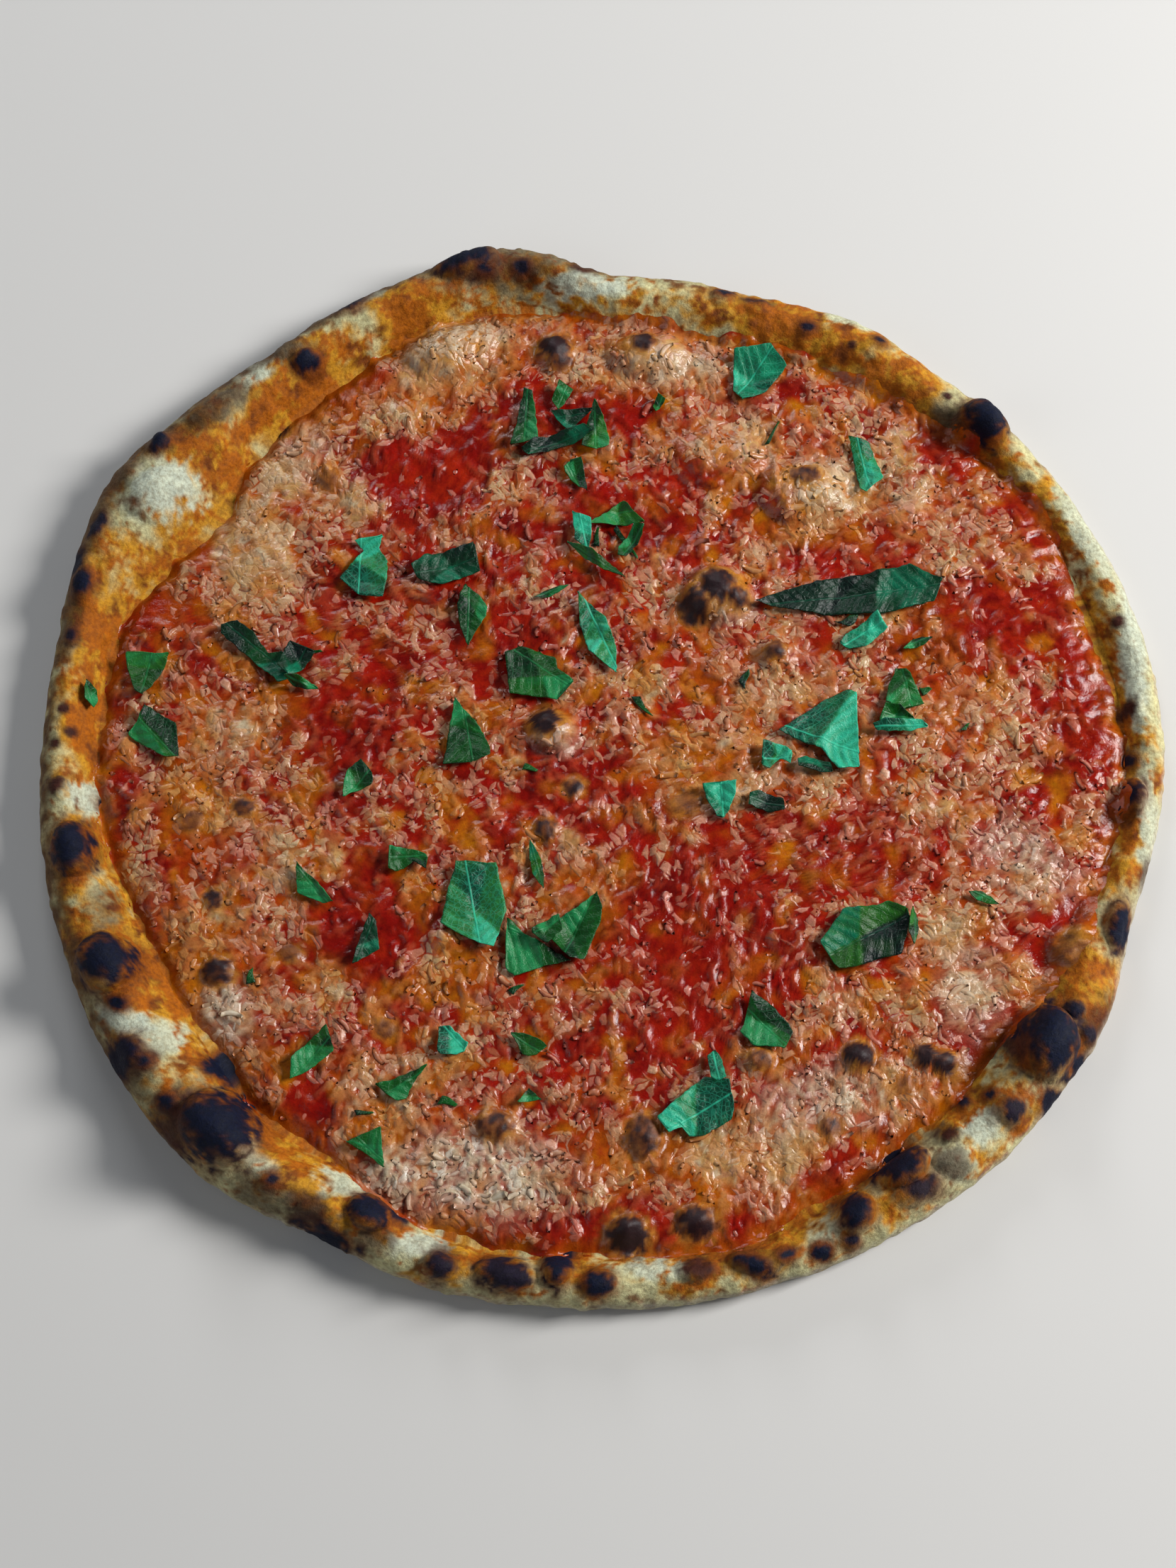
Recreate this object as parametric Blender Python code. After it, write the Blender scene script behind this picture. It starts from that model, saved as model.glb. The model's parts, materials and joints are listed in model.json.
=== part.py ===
"""A Neapolitan-style vegan pizza, 33 cm across: an uneven crust with a puffed, blistered rim, a
layer of tomato sauce and melted shredded vegan cheese, and torn basil leaves lying on top.

Frame: metres, +Z up, the middle of the flat underside at the origin. +Y points to the far side.
Sizes and places below are in millimetres, measured from the middle of the pizza.
"""

import math
import random

import bmesh
import bpy
from mathutils import Matrix, Vector, geometry, noise
from mathutils.bvhtree import BVHTree

MM = 0.001

# Edge of the crust: one radius for each 10 degrees, anticlockwise from +X
EDGE_RADIUS = (165, 165, 164, 163, 161.5, 159, 159.5, 156, 155.5, 156, 166, 165,
               164, 163.5, 167, 172, 169, 165.5, 165, 166, 166.5, 168, 169, 169,
               164, 164.5, 163.5, 163, 163, 163.5, 164, 165, 165, 165, 161, 163)

# Rim and topping: one value for each 15 degrees, in the same way
RIM_WIDTH = (12, 13, 13, 16, 20, 19, 17, 18, 18, 21, 32, 18,
             16, 20, 25, 24, 20, 14, 15, 14, 18, 21, 22, 14)
RIM_HEIGHT = (8, 8.5, 8, 10, 12, 11, 12, 15, 14, 15, 15.5, 13,
              12.5, 14, 15, 16, 14, 11, 11, 10, 12, 12, 12, 9)
TOPPING_RADIUS = (153, 150, 153, 147, 143, 140, 142, 148, 145, 143, 138, 150,
                  148, 147, 142, 143, 145, 150, 149, 150, 146, 144, 147, 152)

# Crust: each ring's inset from the edge as a share of the rim's width, and its share of the height
CRUST_SECTION = ((0.32, 0), (0.07, 0.1), (0, 0.38), (0.06, 0.68), (0.2, 0.9), (0.42, 1),
                 (0.62, 0.9), (0.8, 0.62), (0.93, 0.35), (1, 0))
FLOOR_THICKNESS = 3.0
RIM_UNEVENNESS = 1.2
RIM_LUMP_SIZE = 14.0

# Blisters on the crust: x, y, half length, half width, turn in degrees, height
CRUST_BLISTERS = (
    (-90, 122, 4.5, 3.8, 0, 2.5), (-95, 127, 6, 3.5, 30, 1.5), (-135, 95, 4, 3.4, 30, 2.2),
    (-144, 85, 5, 5, 0, 1.8), (-132, 77, 11, 9, 20, 3), (-118, 106, 9, 5, 30, 2),
    (-42, 156, 11, 7, 10, 3), (-14, 154, 12, 5, -10, 1.5), (37, 145, 4, 3, 0, 1.8),
    (48, 141, 5, 3, -20, 1.5), (84, 127, 6, 4, -40, 1.6), (115, 102, 9, 8, 0, 7),
    (156, 13, 4, 3, 60, 1.2), (152, -15.5, 6.5, 6.5, 0, 6), (148, -54.5, 4.5, 8, -10, 2.5),
    (123, -89, 10, 12, 20, 8), (133, -80, 3, 3, 0, 1.5), (137, -87, 3, 3, 0, 1.5),
    (113.5, -109, 4.5, 4, 0, 2), (96, -114, 4.2, 4, 0, 2.5), (97.5, -123, 6, 5, 0, 3),
    (82, -122.5, 8.7, 7.7, 20, 6), (86, -132, 8, 3.5, 20, 1.5), (70, -137, 4.8, 6.5, -10, 4.5),
    (43, -149, 9, 5, 0, 3), (25, -152, 6, 5, 0, 3), (-1.5, -156.5, 4.8, 3.5, 0, 1.8),
    (-13, -150, 4.3, 7.5, 0, 4.5), (-27, -153.5, 8.5, 5, -10, 2.5), (-45.5, -152, 4.5, 4.3, 0, 2),
    (-64, -137, 6.5, 6, 0, 5), (-57, -137, 3.8, 3.5, 0, 3), (-78, -139, 8, 5, -15, 2.5),
    (-106.5, -114, 12, 11.5, 0, 9), (-131, -95, 6, 6, 0, 2.5), (-141.5, -67, 9, 8.5, 0, 8),
    (-151.5, -33, 7, 8, 0, 6), (-159, -15, 4.5, 4.5, 0, 1.5), (-155.5, 51, 4, 8, -15, 2.5),
)

# Bubbles that lift the sauce and cheese, given in the same way
TOPPING_BUBBLES = (
    (34, 48.5, 11, 10, 0, 6.5), (-15, 5.5, 8, 7.5, 0, 4.5), (60, 82, 14, 11, 0, 5),
    (-47, 131, 15, 12, 15, 5), (14, 128, 13, 9, 0, 4.5), (-15, 128, 6, 6, 0, 3),
    (51.5, 29.5, 6, 6, 0, 2.5), (-16, -25, 4.5, 4.5, 0, 1.8), (72, -92.5, 5, 4.5, 0, 2.5),
    (93.5, -93, 7, 4, 0, 2.2), (-111, -67.5, 4.5, 4.5, 0, 2), (-31, -112, 7, 5, 0, 2.2),
    (11, -115, 6, 7, 0, 2.2), (44, -93, 5, 5, 0, 1.8), (35, 93, 15, 11, 0, 3),
    (134, -60, 7, 8, 0, 4), (25, -139, 5, 5, 0, 3), (6.5, -142, 5, 5, 0, 3.5),
    (-83, 87, 4.5, 4.5, 0, 1.8), (-42, -56, 10, 6, 20, 2),
)

# Sauce and melted cheese
TOPPING_THICKNESS = 2.2
TOPPING_EDGE = 0.7
TOPPING_FADE = 10.0
TOPPING_UNEVENNESS = 1.1
TOPPING_LUMP_SIZE = 11.0
UNDERSIDE_INSETS = (0, 3.5, 9)
UNDERSIDE_FEEL = 0.8     # it lies on the highest dough within this reach
GAP = 0.35

# Shreds of cheese, melted into the layer
SHRED_COUNT = 130
SHRED_LENGTHS = (6.0, 10.0)
SHRED_WIDTH = 2.6
SHRED_HEIGHT = 2.4
SHRED_RISE = 0.35        # of its middle above the layer
SHRED_SPACING = 12.0
SHRED_CLEAR_OF_LEAF = 2.5
SHRED_CLEAR_OF_EDGE = 8.0
SHRED_SIDES = 6
SHRED_SEED = 7

# Mesh spacing
SPOKES = 144
TOPPING_SPACING = 9.0
TOPPING_JITTER = 0.2

# Torn basil leaves
LEAF_THICKNESS = 0.6
LEAF_GAP = 0.5
LEAF_RUFFLE = 1.3        # how far an edge waves up
LEAF_RUFFLE_LENGTH = 9.0
LEAF_TIP_LIFT = 1.4
LEAF_SPACING = 5.0
LEAF_CLEAR_OF_EDGE = 2.2
LEAF_UNEVENNESS = 0.02   # of a torn corner, as a share of the leaf's width
LEAF_FEEL = 2.0          # it lies on the highest thing within this reach
RAISE_STEP = 0.2

# Torn leaves come in a few outlines: corners as shares of half the length and half the width
LEAF_OUTLINES = {
    "arrow": ((-1, 0.1), (-0.4, -0.3), (0, -0.5), (0.4, -1), (0.85, -1), (1, 0.9), (0.7, 1), (0.2, 0.8),
              (-0.4, 0.4)),
    "blade": ((-1, 0), (-0.4, -0.8), (0.3, -0.9), (1, 0), (0.4, 0.7), (-0.3, 1)),
    "block": ((-1, 0.7), (-0.7, -1), (0.6, -0.8), (1, 0.6), (-0.8, 1)),
    "bucket": ((-1, -0.2), (-0.6, -0.5), (0.3, -0.9), (1, -1), (0.9, 1), (0.2, 0.8), (-0.9, 0.2)),
    "crest": ((-1, -0.2), (-0.9, -0.8), (0.2, -1), (0.6, -0.9), (1, -0.4), (0.6, 0.1), (0, 0.9), (-0.6, 1)),
    "eye": ((-1, 0.6), (-0.7, 0.2), (-0.1, -0.9), (0.2, -1), (0.6, -0.6), (1, 0.4), (0.4, 1), (-0.3, 1)),
    "fan": ((-1, -0.9), (-0.2, -1), (0.2, -0.9), (0.6, -0.5), (1, -0.6), (0.8, 0.6), (0.5, 0.1), (-0.4, 1), (-1, 0)),
    "flag": ((-1, 1), (-0.9, 0.1), (-0.7, -0.8), (-0.4, -1), (0.3, -0.4), (1, 0), (0, 0.4), (-0.5, 0.6)),
    "folded": ((-1, 0.6), (-0.7, -1), (0.6, -1), (0.6, -0.7), (1, -0.2), (0.5, 0.3), (0.4, 0.7), (-0.6, 1)),
    "helmet": ((-1, 0.4), (-0.3, -0.6), (-0.2, -1), (0.4, -0.8), (1, 0.2), (0.7, 0.9), (0.4, 1), (-0.3, 0.8)),
    "hill": ((-1, -1), (1, -0.7), (1, -0.3), (0.1, 0.9), (-0.8, 1)),
    "hood": ((-1, 0), (-0.8, -0.6), (-0.4, -0.5), (-0.3, -0.9), (0, -1), (0.8, -0.7), (1, -0.3), (1, 0.7),
             (0.5, 1), (-0.4, 0.4)),
    "kite": ((-1, 0.4), (-0.7, -0.4), (-0.6, -1), (0.7, -0.3), (1, 0.2), (0, 1)),
    "lozenge": ((-1, 0.4), (-0.9, -0.4), (-0.2, -1), (1, -0.7), (1, 1), (-0.1, 0.8), (-0.6, 0.8)),
    "notched": ((-1, 1), (-0.9, -0.9), (-0.4, -1), (0.3, -0.1), (1, -0.7), (1, 0.4), (0.6, 0.8)),
    "roll": ((-1, -0.1), (-0.9, -0.6), (-0.4, -0.8), (0.4, -0.9), (0.8, -1), (1, -0.1), (0.4, 1), (0.2, 0.3),
             (-0.4, 0.9), (-0.8, 0.9)),
    "sail": ((-1, 0.9), (-0.2, -1), (0.8, 0.1), (1, 0.8), (0.1, 1)),
    "shard": ((-1, 0.2), (-0.5, -0.4), (0.5, -1), (1, 0.5), (-0.4, 1)),
    "shield": ((-1, -0.2), (-0.65, -1), (-0.2, -1), (0.3, -0.75), (0.75, -0.6), (1, 0.4), (0.9, 0.7), (0.55, 1),
               (0.3, 0.85), (-0.45, 0.85)),
    "slab": ((-1, -0.8), (-0.1, -1), (1, -0.5), (0.9, 0.7), (0.3, 0.9), (-0.6, 1), (-0.8, 0.5), (-1, -0.4)),
    "spear": ((-1, 0.2), (-0.7, -0.2), (-0.3, -0.7), (0.3, -1), (0.9, -0.8), (1, 0.1), (0.7, 1), (0.4, 0.9),
              (-0.3, 0.8), (-0.8, 0.4)),
    "square": ((-1, 0.2), (-0.5, -0.5), (0.5, -1), (1, -0.1), (0.8, 0.4), (0.5, 1), (-0.8, 0.6)),
    "strip": ((-1, 0.3), (-0.9, -1), (0.4, -1), (1, -0.4), (0.8, 0.9), (-0.6, 1)),
    "tent": ((-1, -0.2), (-0.9, -0.9), (-0.6, -1), (0, -0.8), (0.6, -0.4), (1, -0.1), (0.3, 0.3), (-0.9, 1)),
    "thumb": ((-1, 0), (-0.8, -1), (0.1, -0.7), (1, -0.2), (1, 0.3), (0.2, 0.8), (-0.6, 1)),
    "triangle": ((-1, 0.1), (-0.1, -0.4), (1, -1), (0.6, 1)),
    "wedge": ((-1, 1), (-0.9, -0.9), (0.1, -0.9), (0.9, -0.9), (1, -0.3), (-0.3, 0.5)),
}

# Each leaf: x, y, length, width, turn in degrees, outline, tone
LEAVES = (
    (-24.8, 106.5, 18.6, 9, 96, "wedge", "green"), (-12.5, 113.5, 9.7, 5.9, 80, "shard", "green"),
    (-8.5, 107, 12.5, 8.2, 20, "flag", "dark"), (-2.8, 103.6, 16.6, 9, 92, "tent", "green"),
    (-14, 98, 22.2, 4.6, 17, "strip", "dark"), (-7, 86.3, 11.3, 6.7, -62, "tent", "green"),
    (17.1, 111, 5.8, 3.5, 80, "shard", "green"), (47, 120.6, 19.3, 16.8, 72, "square", "pale"),
    (79.5, 91.1, 18.9, 8, 106, "block", "pale"), (3.4, 73, 15.6, 9.5, 18, "triangle", "green"),
    (-5.9, 68.3, 13, 6.7, 108, "shard", "pale"), (-2.1, 58.7, 20.7, 3.4, -33, "blade", "dark"),
    (8.2, 64.9, 11.8, 3.9, 54, "strip", "green"), (-71.4, 57, 20.5, 14.3, 86, "fan", "pale"),
    (-47.4, 56.9, 19.5, 11.4, 12, "lozenge", "dark"), (-38.8, 41.4, 19.5, 8.6, 96, "eye", "green"),
    (-1.8, 35.6, 28, 9, 114, "blade", "pale"), (-15.5, 48.8, 11, 2.4, 22, "blade", "green"),
    (-19.2, 23.1, 21.7, 15, -8, "folded", "green"), (-42.1, 4.7, 20.6, 15.1, 104, "tent", "green"),
    (33.8, -16.4, 10.8, 10.3, 92, "bucket", "pale"), (47.5, -17, 11.2, 5.1, -18, "strip", "dark"),
    (50.6, -2.8, 8.7, 7.9, -5, "notched", "pale"), (61.9, -5.7, 10.6, 3.8, -16, "strip", "dark"),
    (63.4, 4.8, 24.4, 23.4, 3, "arrow", "pale"), (88.5, 18.1, 12.8, 11.2, 93, "thumb", "green"),
    (86.4, 10, 10.2, 5.5, -5, "hill", "green"), (87, 6.1, 16, 3.3, 2, "strip", "pale"),
    (73.3, 47.8, 56, 14.5, 8, "spear", "dark"), (77.1, 35.2, 14.5, 7.1, 32, "lozenge", "pale"),
    (93.3, 32.5, 9.4, 3, 22, "blade", "green"), (-102.3, 29.9, 27.6, 8.2, -37, "roll", "dark"),
    (-91, 26.8, 11.6, 10.7, 84, "shard", "dark"), (-89, 19.3, 10.1, 3, -15, "blade", "green"),
    (-136.3, 22.9, 13.5, 13.1, 82, "bucket", "green"), (-131.3, 3.3, 19.3, 13.3, -52, "kite", "green"),
    (-150.6, 15.3, 8, 3.6, 105, "blade", "green"), (-71.5, -10.3, 12.5, 8, 72, "eye", "green"),
    (-85.3, -43.3, 15.7, 6.3, -46, "sail", "green"), (-56.8, -34.5, 11.2, 7.2, -3, "notched", "green"),
    (-19.5, -36, 15.1, 3.7, 106, "blade", "dark"), (-37, -47.3, 24.6, 18.3, 84, "slab", "pale"),
    (-19.5, -62.2, 20.8, 15.9, -14, "flag", "green"), (-7.6, -53.8, 21.3, 12.4, 72, "crest", "green"),
    (-15.7, -55.7, 9.3, 6.4, 40, "block", "green"), (-66.9, -59, 15.7, 6.4, 74, "sail", "dark"),
    (-82.5, -92.1, 18.4, 8.9, 54, "shard", "green"), (-43.2, -87.8, 9, 9.1, 12, "crest", "pale"),
    (-56.1, -99.3, 15.1, 8.6, 36, "flag", "green"), (-21.6, -104.6, 6, 5, 30, "triangle", "green"),
    (-21.7, -89.4, 10.9, 6.2, -16, "eye", "green"), (-66.8, -117.9, 11.5, 11.4, -4, "triangle", "green"),
    (25.4, -107.3, 21.9, 16.1, 14, "hood", "pale"), (44.8, -83.4, 19.2, 13.2, -57, "helmet", "green"),
    (75, -56.8, 26, 19.5, 2, "shield", "dark"), (88.8, -54.7, 10.5, 3.3, 92, "blade", "green"),
    (109.4, -46.1, 9.3, 3.3, -22, "blade", "green"), (31.5, -95.4, 9.2, 4, 102, "strip", "pale"),
)

# Colours are linear red, green and blue
BASIL_TONES = {"dark": (0.012, 0.045, 0.012), "green": (0.03, 0.1, 0.02), "pale": (0.09, 0.17, 0.07)}


def clear_scene():
    """Start from an empty scene."""
    for obj in list(bpy.data.objects):
        bpy.data.objects.remove(obj)


def material(name, colour, roughness):
    """A plain finish in one colour."""
    finish = bpy.data.materials.new(name)
    finish.use_nodes = True
    shader = finish.node_tree.nodes["Principled BSDF"]
    shader.inputs["Base Color"].default_value = (*colour, 1)
    shader.inputs["Roughness"].default_value = roughness
    return finish


def add_object(name, bm, finish, collection):
    """Turn a mesh in millimetres into an object in metres."""
    bmesh.ops.scale(bm, vec=(MM, MM, MM), verts=bm.verts)
    mesh = bpy.data.meshes.new(name)
    bm.to_mesh(mesh)
    bm.free()
    mesh.materials.append(finish)
    obj = bpy.data.objects.new(name, mesh)
    collection.objects.link(obj)
    return obj


def tree_of(obj):
    """The object's surface, in millimetres, for finding what lies under a place."""
    points = [vertex.co / MM for vertex in obj.data.vertices]
    return BVHTree.FromPolygons(points, [tuple(face.vertices) for face in obj.data.polygons])


def top_under(trees, x, y):
    """The height of the highest surface at a place."""
    above = Vector((x, y, 100))
    hits = [tree.ray_cast(above, Vector((0, 0, -1)))[0] for tree in trees]
    return max((hit.z for hit in hits if hit), default=0)


def top_near(trees, x, y, reach):
    """The height of the highest surface at a place and all round it."""
    spots = [(x, y)] + [(x + reach * math.cos(turn), y + reach * math.sin(turn)) for turn in range(6)]
    return max(top_under(trees, *spot) for spot in spots)


def round_the_rim(values, angle):
    """A value for any angle, running smoothly through the ones that are given."""
    place = angle / math.tau * len(values)
    first = math.floor(place)
    share = place - first
    before, start, end, after = (values[(first + step) % len(values)] for step in (-1, 0, 1, 2))
    return 0.5 * (2 * start + (end - before) * share
                  + (2 * before - 5 * start + 4 * end - after) * share ** 2
                  + (3 * start - before - 3 * end + after) * share ** 3)


def dome_height(x, y, domes):
    """How far the highest dome at a place stands up; each has an oval foot."""
    height = 0
    for middle_x, middle_y, half_length, half_width, turn, top in domes:
        local = Matrix.Rotation(-math.radians(turn), 2) @ Vector((x - middle_x, y - middle_y))
        reach = (local.x / half_length) ** 2 + (local.y / half_width) ** 2
        height = max(height, top * (1 - reach))
    return height


def lumps(x, y, size):
    """Smooth unevenness between -1 and 1."""
    return noise.noise(Vector((x, y, 0)) / size)


def polar(radius, angle):
    return radius * math.cos(angle), radius * math.sin(angle)


def bridge(bm, lower, upper):
    """Join two rings of vertices by a band of triangles."""
    for index, vertex in enumerate(lower):
        following = (index + 1) % len(lower)
        bm.faces.new((vertex, lower[following], upper[following]))
        bm.faces.new((vertex, upper[following], upper[index]))


def fan(bm, ring, middle, up):
    """Close a ring with triangles that meet in its middle."""
    for index, vertex in enumerate(ring):
        following = ring[(index + 1) % len(ring)]
        bm.faces.new((vertex, following, middle) if up else (following, vertex, middle))


def crust(finish, collection):
    """Dough: a flat floor with a puffed rim round it, and blisters where bubbles baked."""
    bm = bmesh.new()
    angles = [math.tau * spoke / SPOKES for spoke in range(SPOKES)]
    rings = []
    for inset, share in CRUST_SECTION:
        ring = []
        for angle in angles:
            radius = round_the_rim(EDGE_RADIUS, angle) - inset * round_the_rim(RIM_WIDTH, angle)
            x, y = polar(radius, angle)
            swell = dome_height(x, y, CRUST_BLISTERS) + RIM_UNEVENNESS * lumps(x, y, RIM_LUMP_SIZE)
            z = share * (round_the_rim(RIM_HEIGHT, angle) + swell)
            if inset == 1:
                z = FLOOR_THICKNESS
            ring.append(bm.verts.new((x, y, z)))
        rings.append(ring)
    for lower, upper in zip(rings, rings[1:]):
        bridge(bm, lower, upper)
    fan(bm, rings[-1], bm.verts.new((0, 0, FLOOR_THICKNESS)), True)
    fan(bm, rings[0], bm.verts.new((0, 0, 0)), False)
    return add_object("crust", bm, finish, collection)


def topping_depth(x, y):
    """How thick the sauce and cheese lie on the dough at a place."""
    room = round_the_rim(TOPPING_RADIUS, math.atan2(y, x)) - math.hypot(x, y)
    share = min(1, max(0, room / TOPPING_FADE))
    full = (TOPPING_THICKNESS + TOPPING_UNEVENNESS * lumps(x, y, TOPPING_LUMP_SIZE)
            + dome_height(x, y, TOPPING_BUBBLES))
    return TOPPING_EDGE + (full - TOPPING_EDGE) * share


def topping_places(edge):
    """The edge's points, and points in rows all over the space inside, slightly out of line."""
    draw = random.Random(SHRED_SEED)
    places = list(edge)
    rows = int(2 * max(TOPPING_RADIUS) / (TOPPING_SPACING * math.sqrt(0.75)))
    for row in range(-rows // 2, rows // 2 + 1):
        for column in range(-rows // 2, rows // 2 + 1):
            x = (column + 0.5 * (row % 2) + draw.uniform(-1, 1) * TOPPING_JITTER) * TOPPING_SPACING
            y = (row * math.sqrt(0.75) + draw.uniform(-1, 1) * TOPPING_JITTER) * TOPPING_SPACING
            room = round_the_rim(TOPPING_RADIUS, math.atan2(y, x)) - math.hypot(x, y)
            if room > 0.5 * TOPPING_SPACING:
                places.append((x, y))
    return places


def topping_layer(dough, finish, collection):
    """Sauce and melted cheese: a thin uneven layer that runs a little way up the rim."""
    bm = bmesh.new()
    angles = [math.tau * spoke / SPOKES for spoke in range(SPOKES)]
    edge = [polar(round_the_rim(TOPPING_RADIUS, angle), angle) for angle in angles]
    places = topping_places(edge)
    sides = [(index, (index + 1) % SPOKES) for index in range(SPOKES)]
    flat, _, faces, *_ = geometry.delaunay_2d_cdt([Vector(place) for place in places], sides, [], 1, 1e-4)
    top = []
    for x, y in flat:
        lie = top_near([dough], x, y, UNDERSIDE_FEEL) + GAP
        top.append(bm.verts.new((x, y, lie + topping_depth(x, y))))
    for face in faces:
        bm.faces.new([top[index] for index in face])
    rings = []
    for inset in UNDERSIDE_INSETS:
        ring = []
        for angle in angles:
            x, y = polar(round_the_rim(TOPPING_RADIUS, angle) - inset, angle)
            ring.append(bm.verts.new((x, y, top_near([dough], x, y, UNDERSIDE_FEEL) + GAP)))
        rings.append(ring)
    bridge(bm, rings[0], top[:SPOKES])
    for outer, inner in zip(rings, rings[1:]):
        bridge(bm, inner, outer)
    fan(bm, rings[-1], bm.verts.new((0, 0, FLOOR_THICKNESS + GAP)), False)
    return add_object("topping", bm, finish, collection)


def on_a_leaf(x, y):
    """Whether a shred there would reach under a leaf."""
    for leaf_x, leaf_y, length, width, turn, *_ in LEAVES:
        local = Matrix.Rotation(-math.radians(turn), 2) @ Vector((x - leaf_x, y - leaf_y))
        reach = SHRED_CLEAR_OF_LEAF + SHRED_LENGTHS[0] / 2
        if abs(local.x) < length / 2 + reach and abs(local.y) < width / 2 + reach:
            return True
    return False


def shred_places():
    """Places for the shreds, spread evenly and drawn at random."""
    draw = random.Random(SHRED_SEED)
    places = []
    while len(places) < SHRED_COUNT:
        angle = draw.uniform(0, math.tau)
        reach = round_the_rim(TOPPING_RADIUS, angle) - SHRED_CLEAR_OF_EDGE
        x, y = polar(reach * math.sqrt(draw.random()), angle)
        near = any(math.hypot(x - other.x, y - other.y) < SHRED_SPACING for other in places)
        if not near and not on_a_leaf(x, y):
            places.append(Vector((x, y)))
    return places


def fuse_shreds(layer, dough, finish):
    """Join the shreds to the layer: short six-sided strips, half sunk in it."""
    draw = random.Random(SHRED_SEED)
    shreds = bpy.data.collections.new("shreds")
    bpy.context.scene.collection.children.link(shreds)
    surface = tree_of(layer)
    for place in shred_places():
        length = draw.uniform(*SHRED_LENGTHS)
        turn = draw.uniform(0, math.pi)
        along = Vector((math.cos(turn), math.sin(turn))) * length / 2
        ends = [top_under([surface], *(place + side * along)) for side in (-1, 1)]
        slope = math.atan2(ends[1] - ends[0], length)
        middle = Vector((place.x, place.y, sum(ends) / 2 + SHRED_RISE))
        bm = bmesh.new()
        bmesh.ops.create_cone(bm, cap_ends=True, cap_tris=False, segments=SHRED_SIDES, radius1=0.5,
                              radius2=0.5, depth=1)
        lie = (Matrix.Translation(middle) @ Matrix.Rotation(turn, 4, "Z")
               @ Matrix.Rotation(math.pi / 2 - slope, 4, "Y")
               @ Matrix.Diagonal((SHRED_HEIGHT, SHRED_WIDTH, length, 1)))
        bmesh.ops.transform(bm, matrix=lie, verts=bm.verts)
        add_object("shred", bm, finish, shreds)
    join = layer.modifiers.new("join", "BOOLEAN")
    join.operation = "UNION"
    join.operand_type = "COLLECTION"
    join.collection = shreds
    join.solver = "EXACT"
    bpy.context.view_layer.update()
    joined = bpy.data.meshes.new_from_object(layer.evaluated_get(bpy.context.evaluated_depsgraph_get()))
    layer.modifiers.remove(join)
    layer.data = joined
    for obj in list(shreds.objects):
        bpy.data.objects.remove(obj)
    bpy.data.collections.remove(shreds)
    bm = bmesh.new()
    bm.from_mesh(layer.data)
    bmesh.ops.triangulate(bm, faces=bm.faces)
    bm.to_mesh(layer.data)
    bm.free()


def split_edges(corners):
    """The corners of an outline, with points between them where an edge is long."""
    points = []
    for index, corner in enumerate(corners):
        toward = corners[(index + 1) % len(corners)] - corner
        pieces = max(1, round(toward.length / LEAF_SPACING))
        points += [corner + toward * step / pieces for step in range(pieces)]
    return points


def inside_points(outline, length, width):
    """Points spread inside an outline, clear of its edges."""
    rows, columns = int(width / LEAF_SPACING) + 1, int(length / LEAF_SPACING) + 1
    points = []
    for row in range(-rows, rows + 1):
        for column in range(-columns, columns + 1):
            point = Vector((column + 0.5 * (row % 2), row * 0.87)) * LEAF_SPACING
            crossings = 0
            clear = True
            for start, end in zip(outline, outline[1:] + outline[:1]):
                toward = end - start
                share = min(max((point - start).dot(toward) / toward.length_squared, 0), 1)
                clear = clear and (start + toward * share - point).length > LEAF_CLEAR_OF_EDGE
                if (start.y > point.y) != (end.y > point.y):
                    crossings += start.x + (point.y - start.y) * toward.x / toward.y > point.x
            if clear and crossings % 2:
                points.append(point)
    return points


def leaf_plan(length, width, corners, draw):
    """A torn leaf laid flat: its points, its triangles and the lines round its edge."""
    corners = [Vector((along * length, across * width)) / 2 for along, across in corners]
    uneven = LEAF_UNEVENNESS * width
    corners = [corner + Vector((draw.uniform(-1, 1), draw.uniform(-1, 1))) * uneven for corner in corners]
    outline = split_edges(corners)
    count = len(outline)
    edges = [(index, (index + 1) % count) for index in range(count)]
    points = outline + inside_points(outline, length, width)
    points, _, faces, *_ = geometry.delaunay_2d_cdt(points, edges, [], 1, 1e-4)
    sides = {(face[index], face[(index + 1) % 3]) for face in faces for index in range(3)}
    return points, faces, [side for side in sides if side[::-1] not in sides]


def leaf(name, row, trees, finish, collection, draw):
    """Lay a thin wavy leaf on whatever is under it, raised until it is clear all over."""
    x, y, length, width, turn, outline, _ = row
    plan, faces, edge = leaf_plan(length, width, LEAF_OUTLINES[outline], draw)
    phase = draw.uniform(0, math.tau)
    place = Matrix.Translation((x, y, 0)) @ Matrix.Rotation(math.radians(turn), 4, "Z")
    under = []
    for point in plan:
        spot = place @ point.to_3d()
        wave = 0.5 + 0.5 * math.sin(math.tau * point.x / LEAF_RUFFLE_LENGTH + phase)
        ruffle = LEAF_RUFFLE * wave * (2 * point.y / width) ** 2
        lift = LEAF_TIP_LIFT * abs(2 * point.x / length) ** 3
        spot.z = top_near(trees, spot.x, spot.y, LEAF_FEEL) + LEAF_GAP + ruffle + lift
        under.append(spot)
    count = len(under)
    solid = [face[::-1] for face in faces]
    solid += [tuple(index + count for index in face) for face in faces]
    for start, end in sorted(edge):
        solid += [(start, end, end + count), (start, end + count, start + count)]
    while True:
        points = under + [point + Vector((0, 0, LEAF_THICKNESS)) for point in under]
        lowered = BVHTree.FromPolygons([point - Vector((0, 0, GAP)) for point in points], solid)
        if not any(lowered.overlap(tree) for tree in trees):
            break
        under = [point + Vector((0, 0, RAISE_STEP)) for point in under]
    bm = bmesh.new()
    corners = [bm.verts.new(point) for point in points]
    for face in solid:
        bm.faces.new([corners[index] for index in face])
    return add_object(name, bm, finish, collection)


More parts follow.
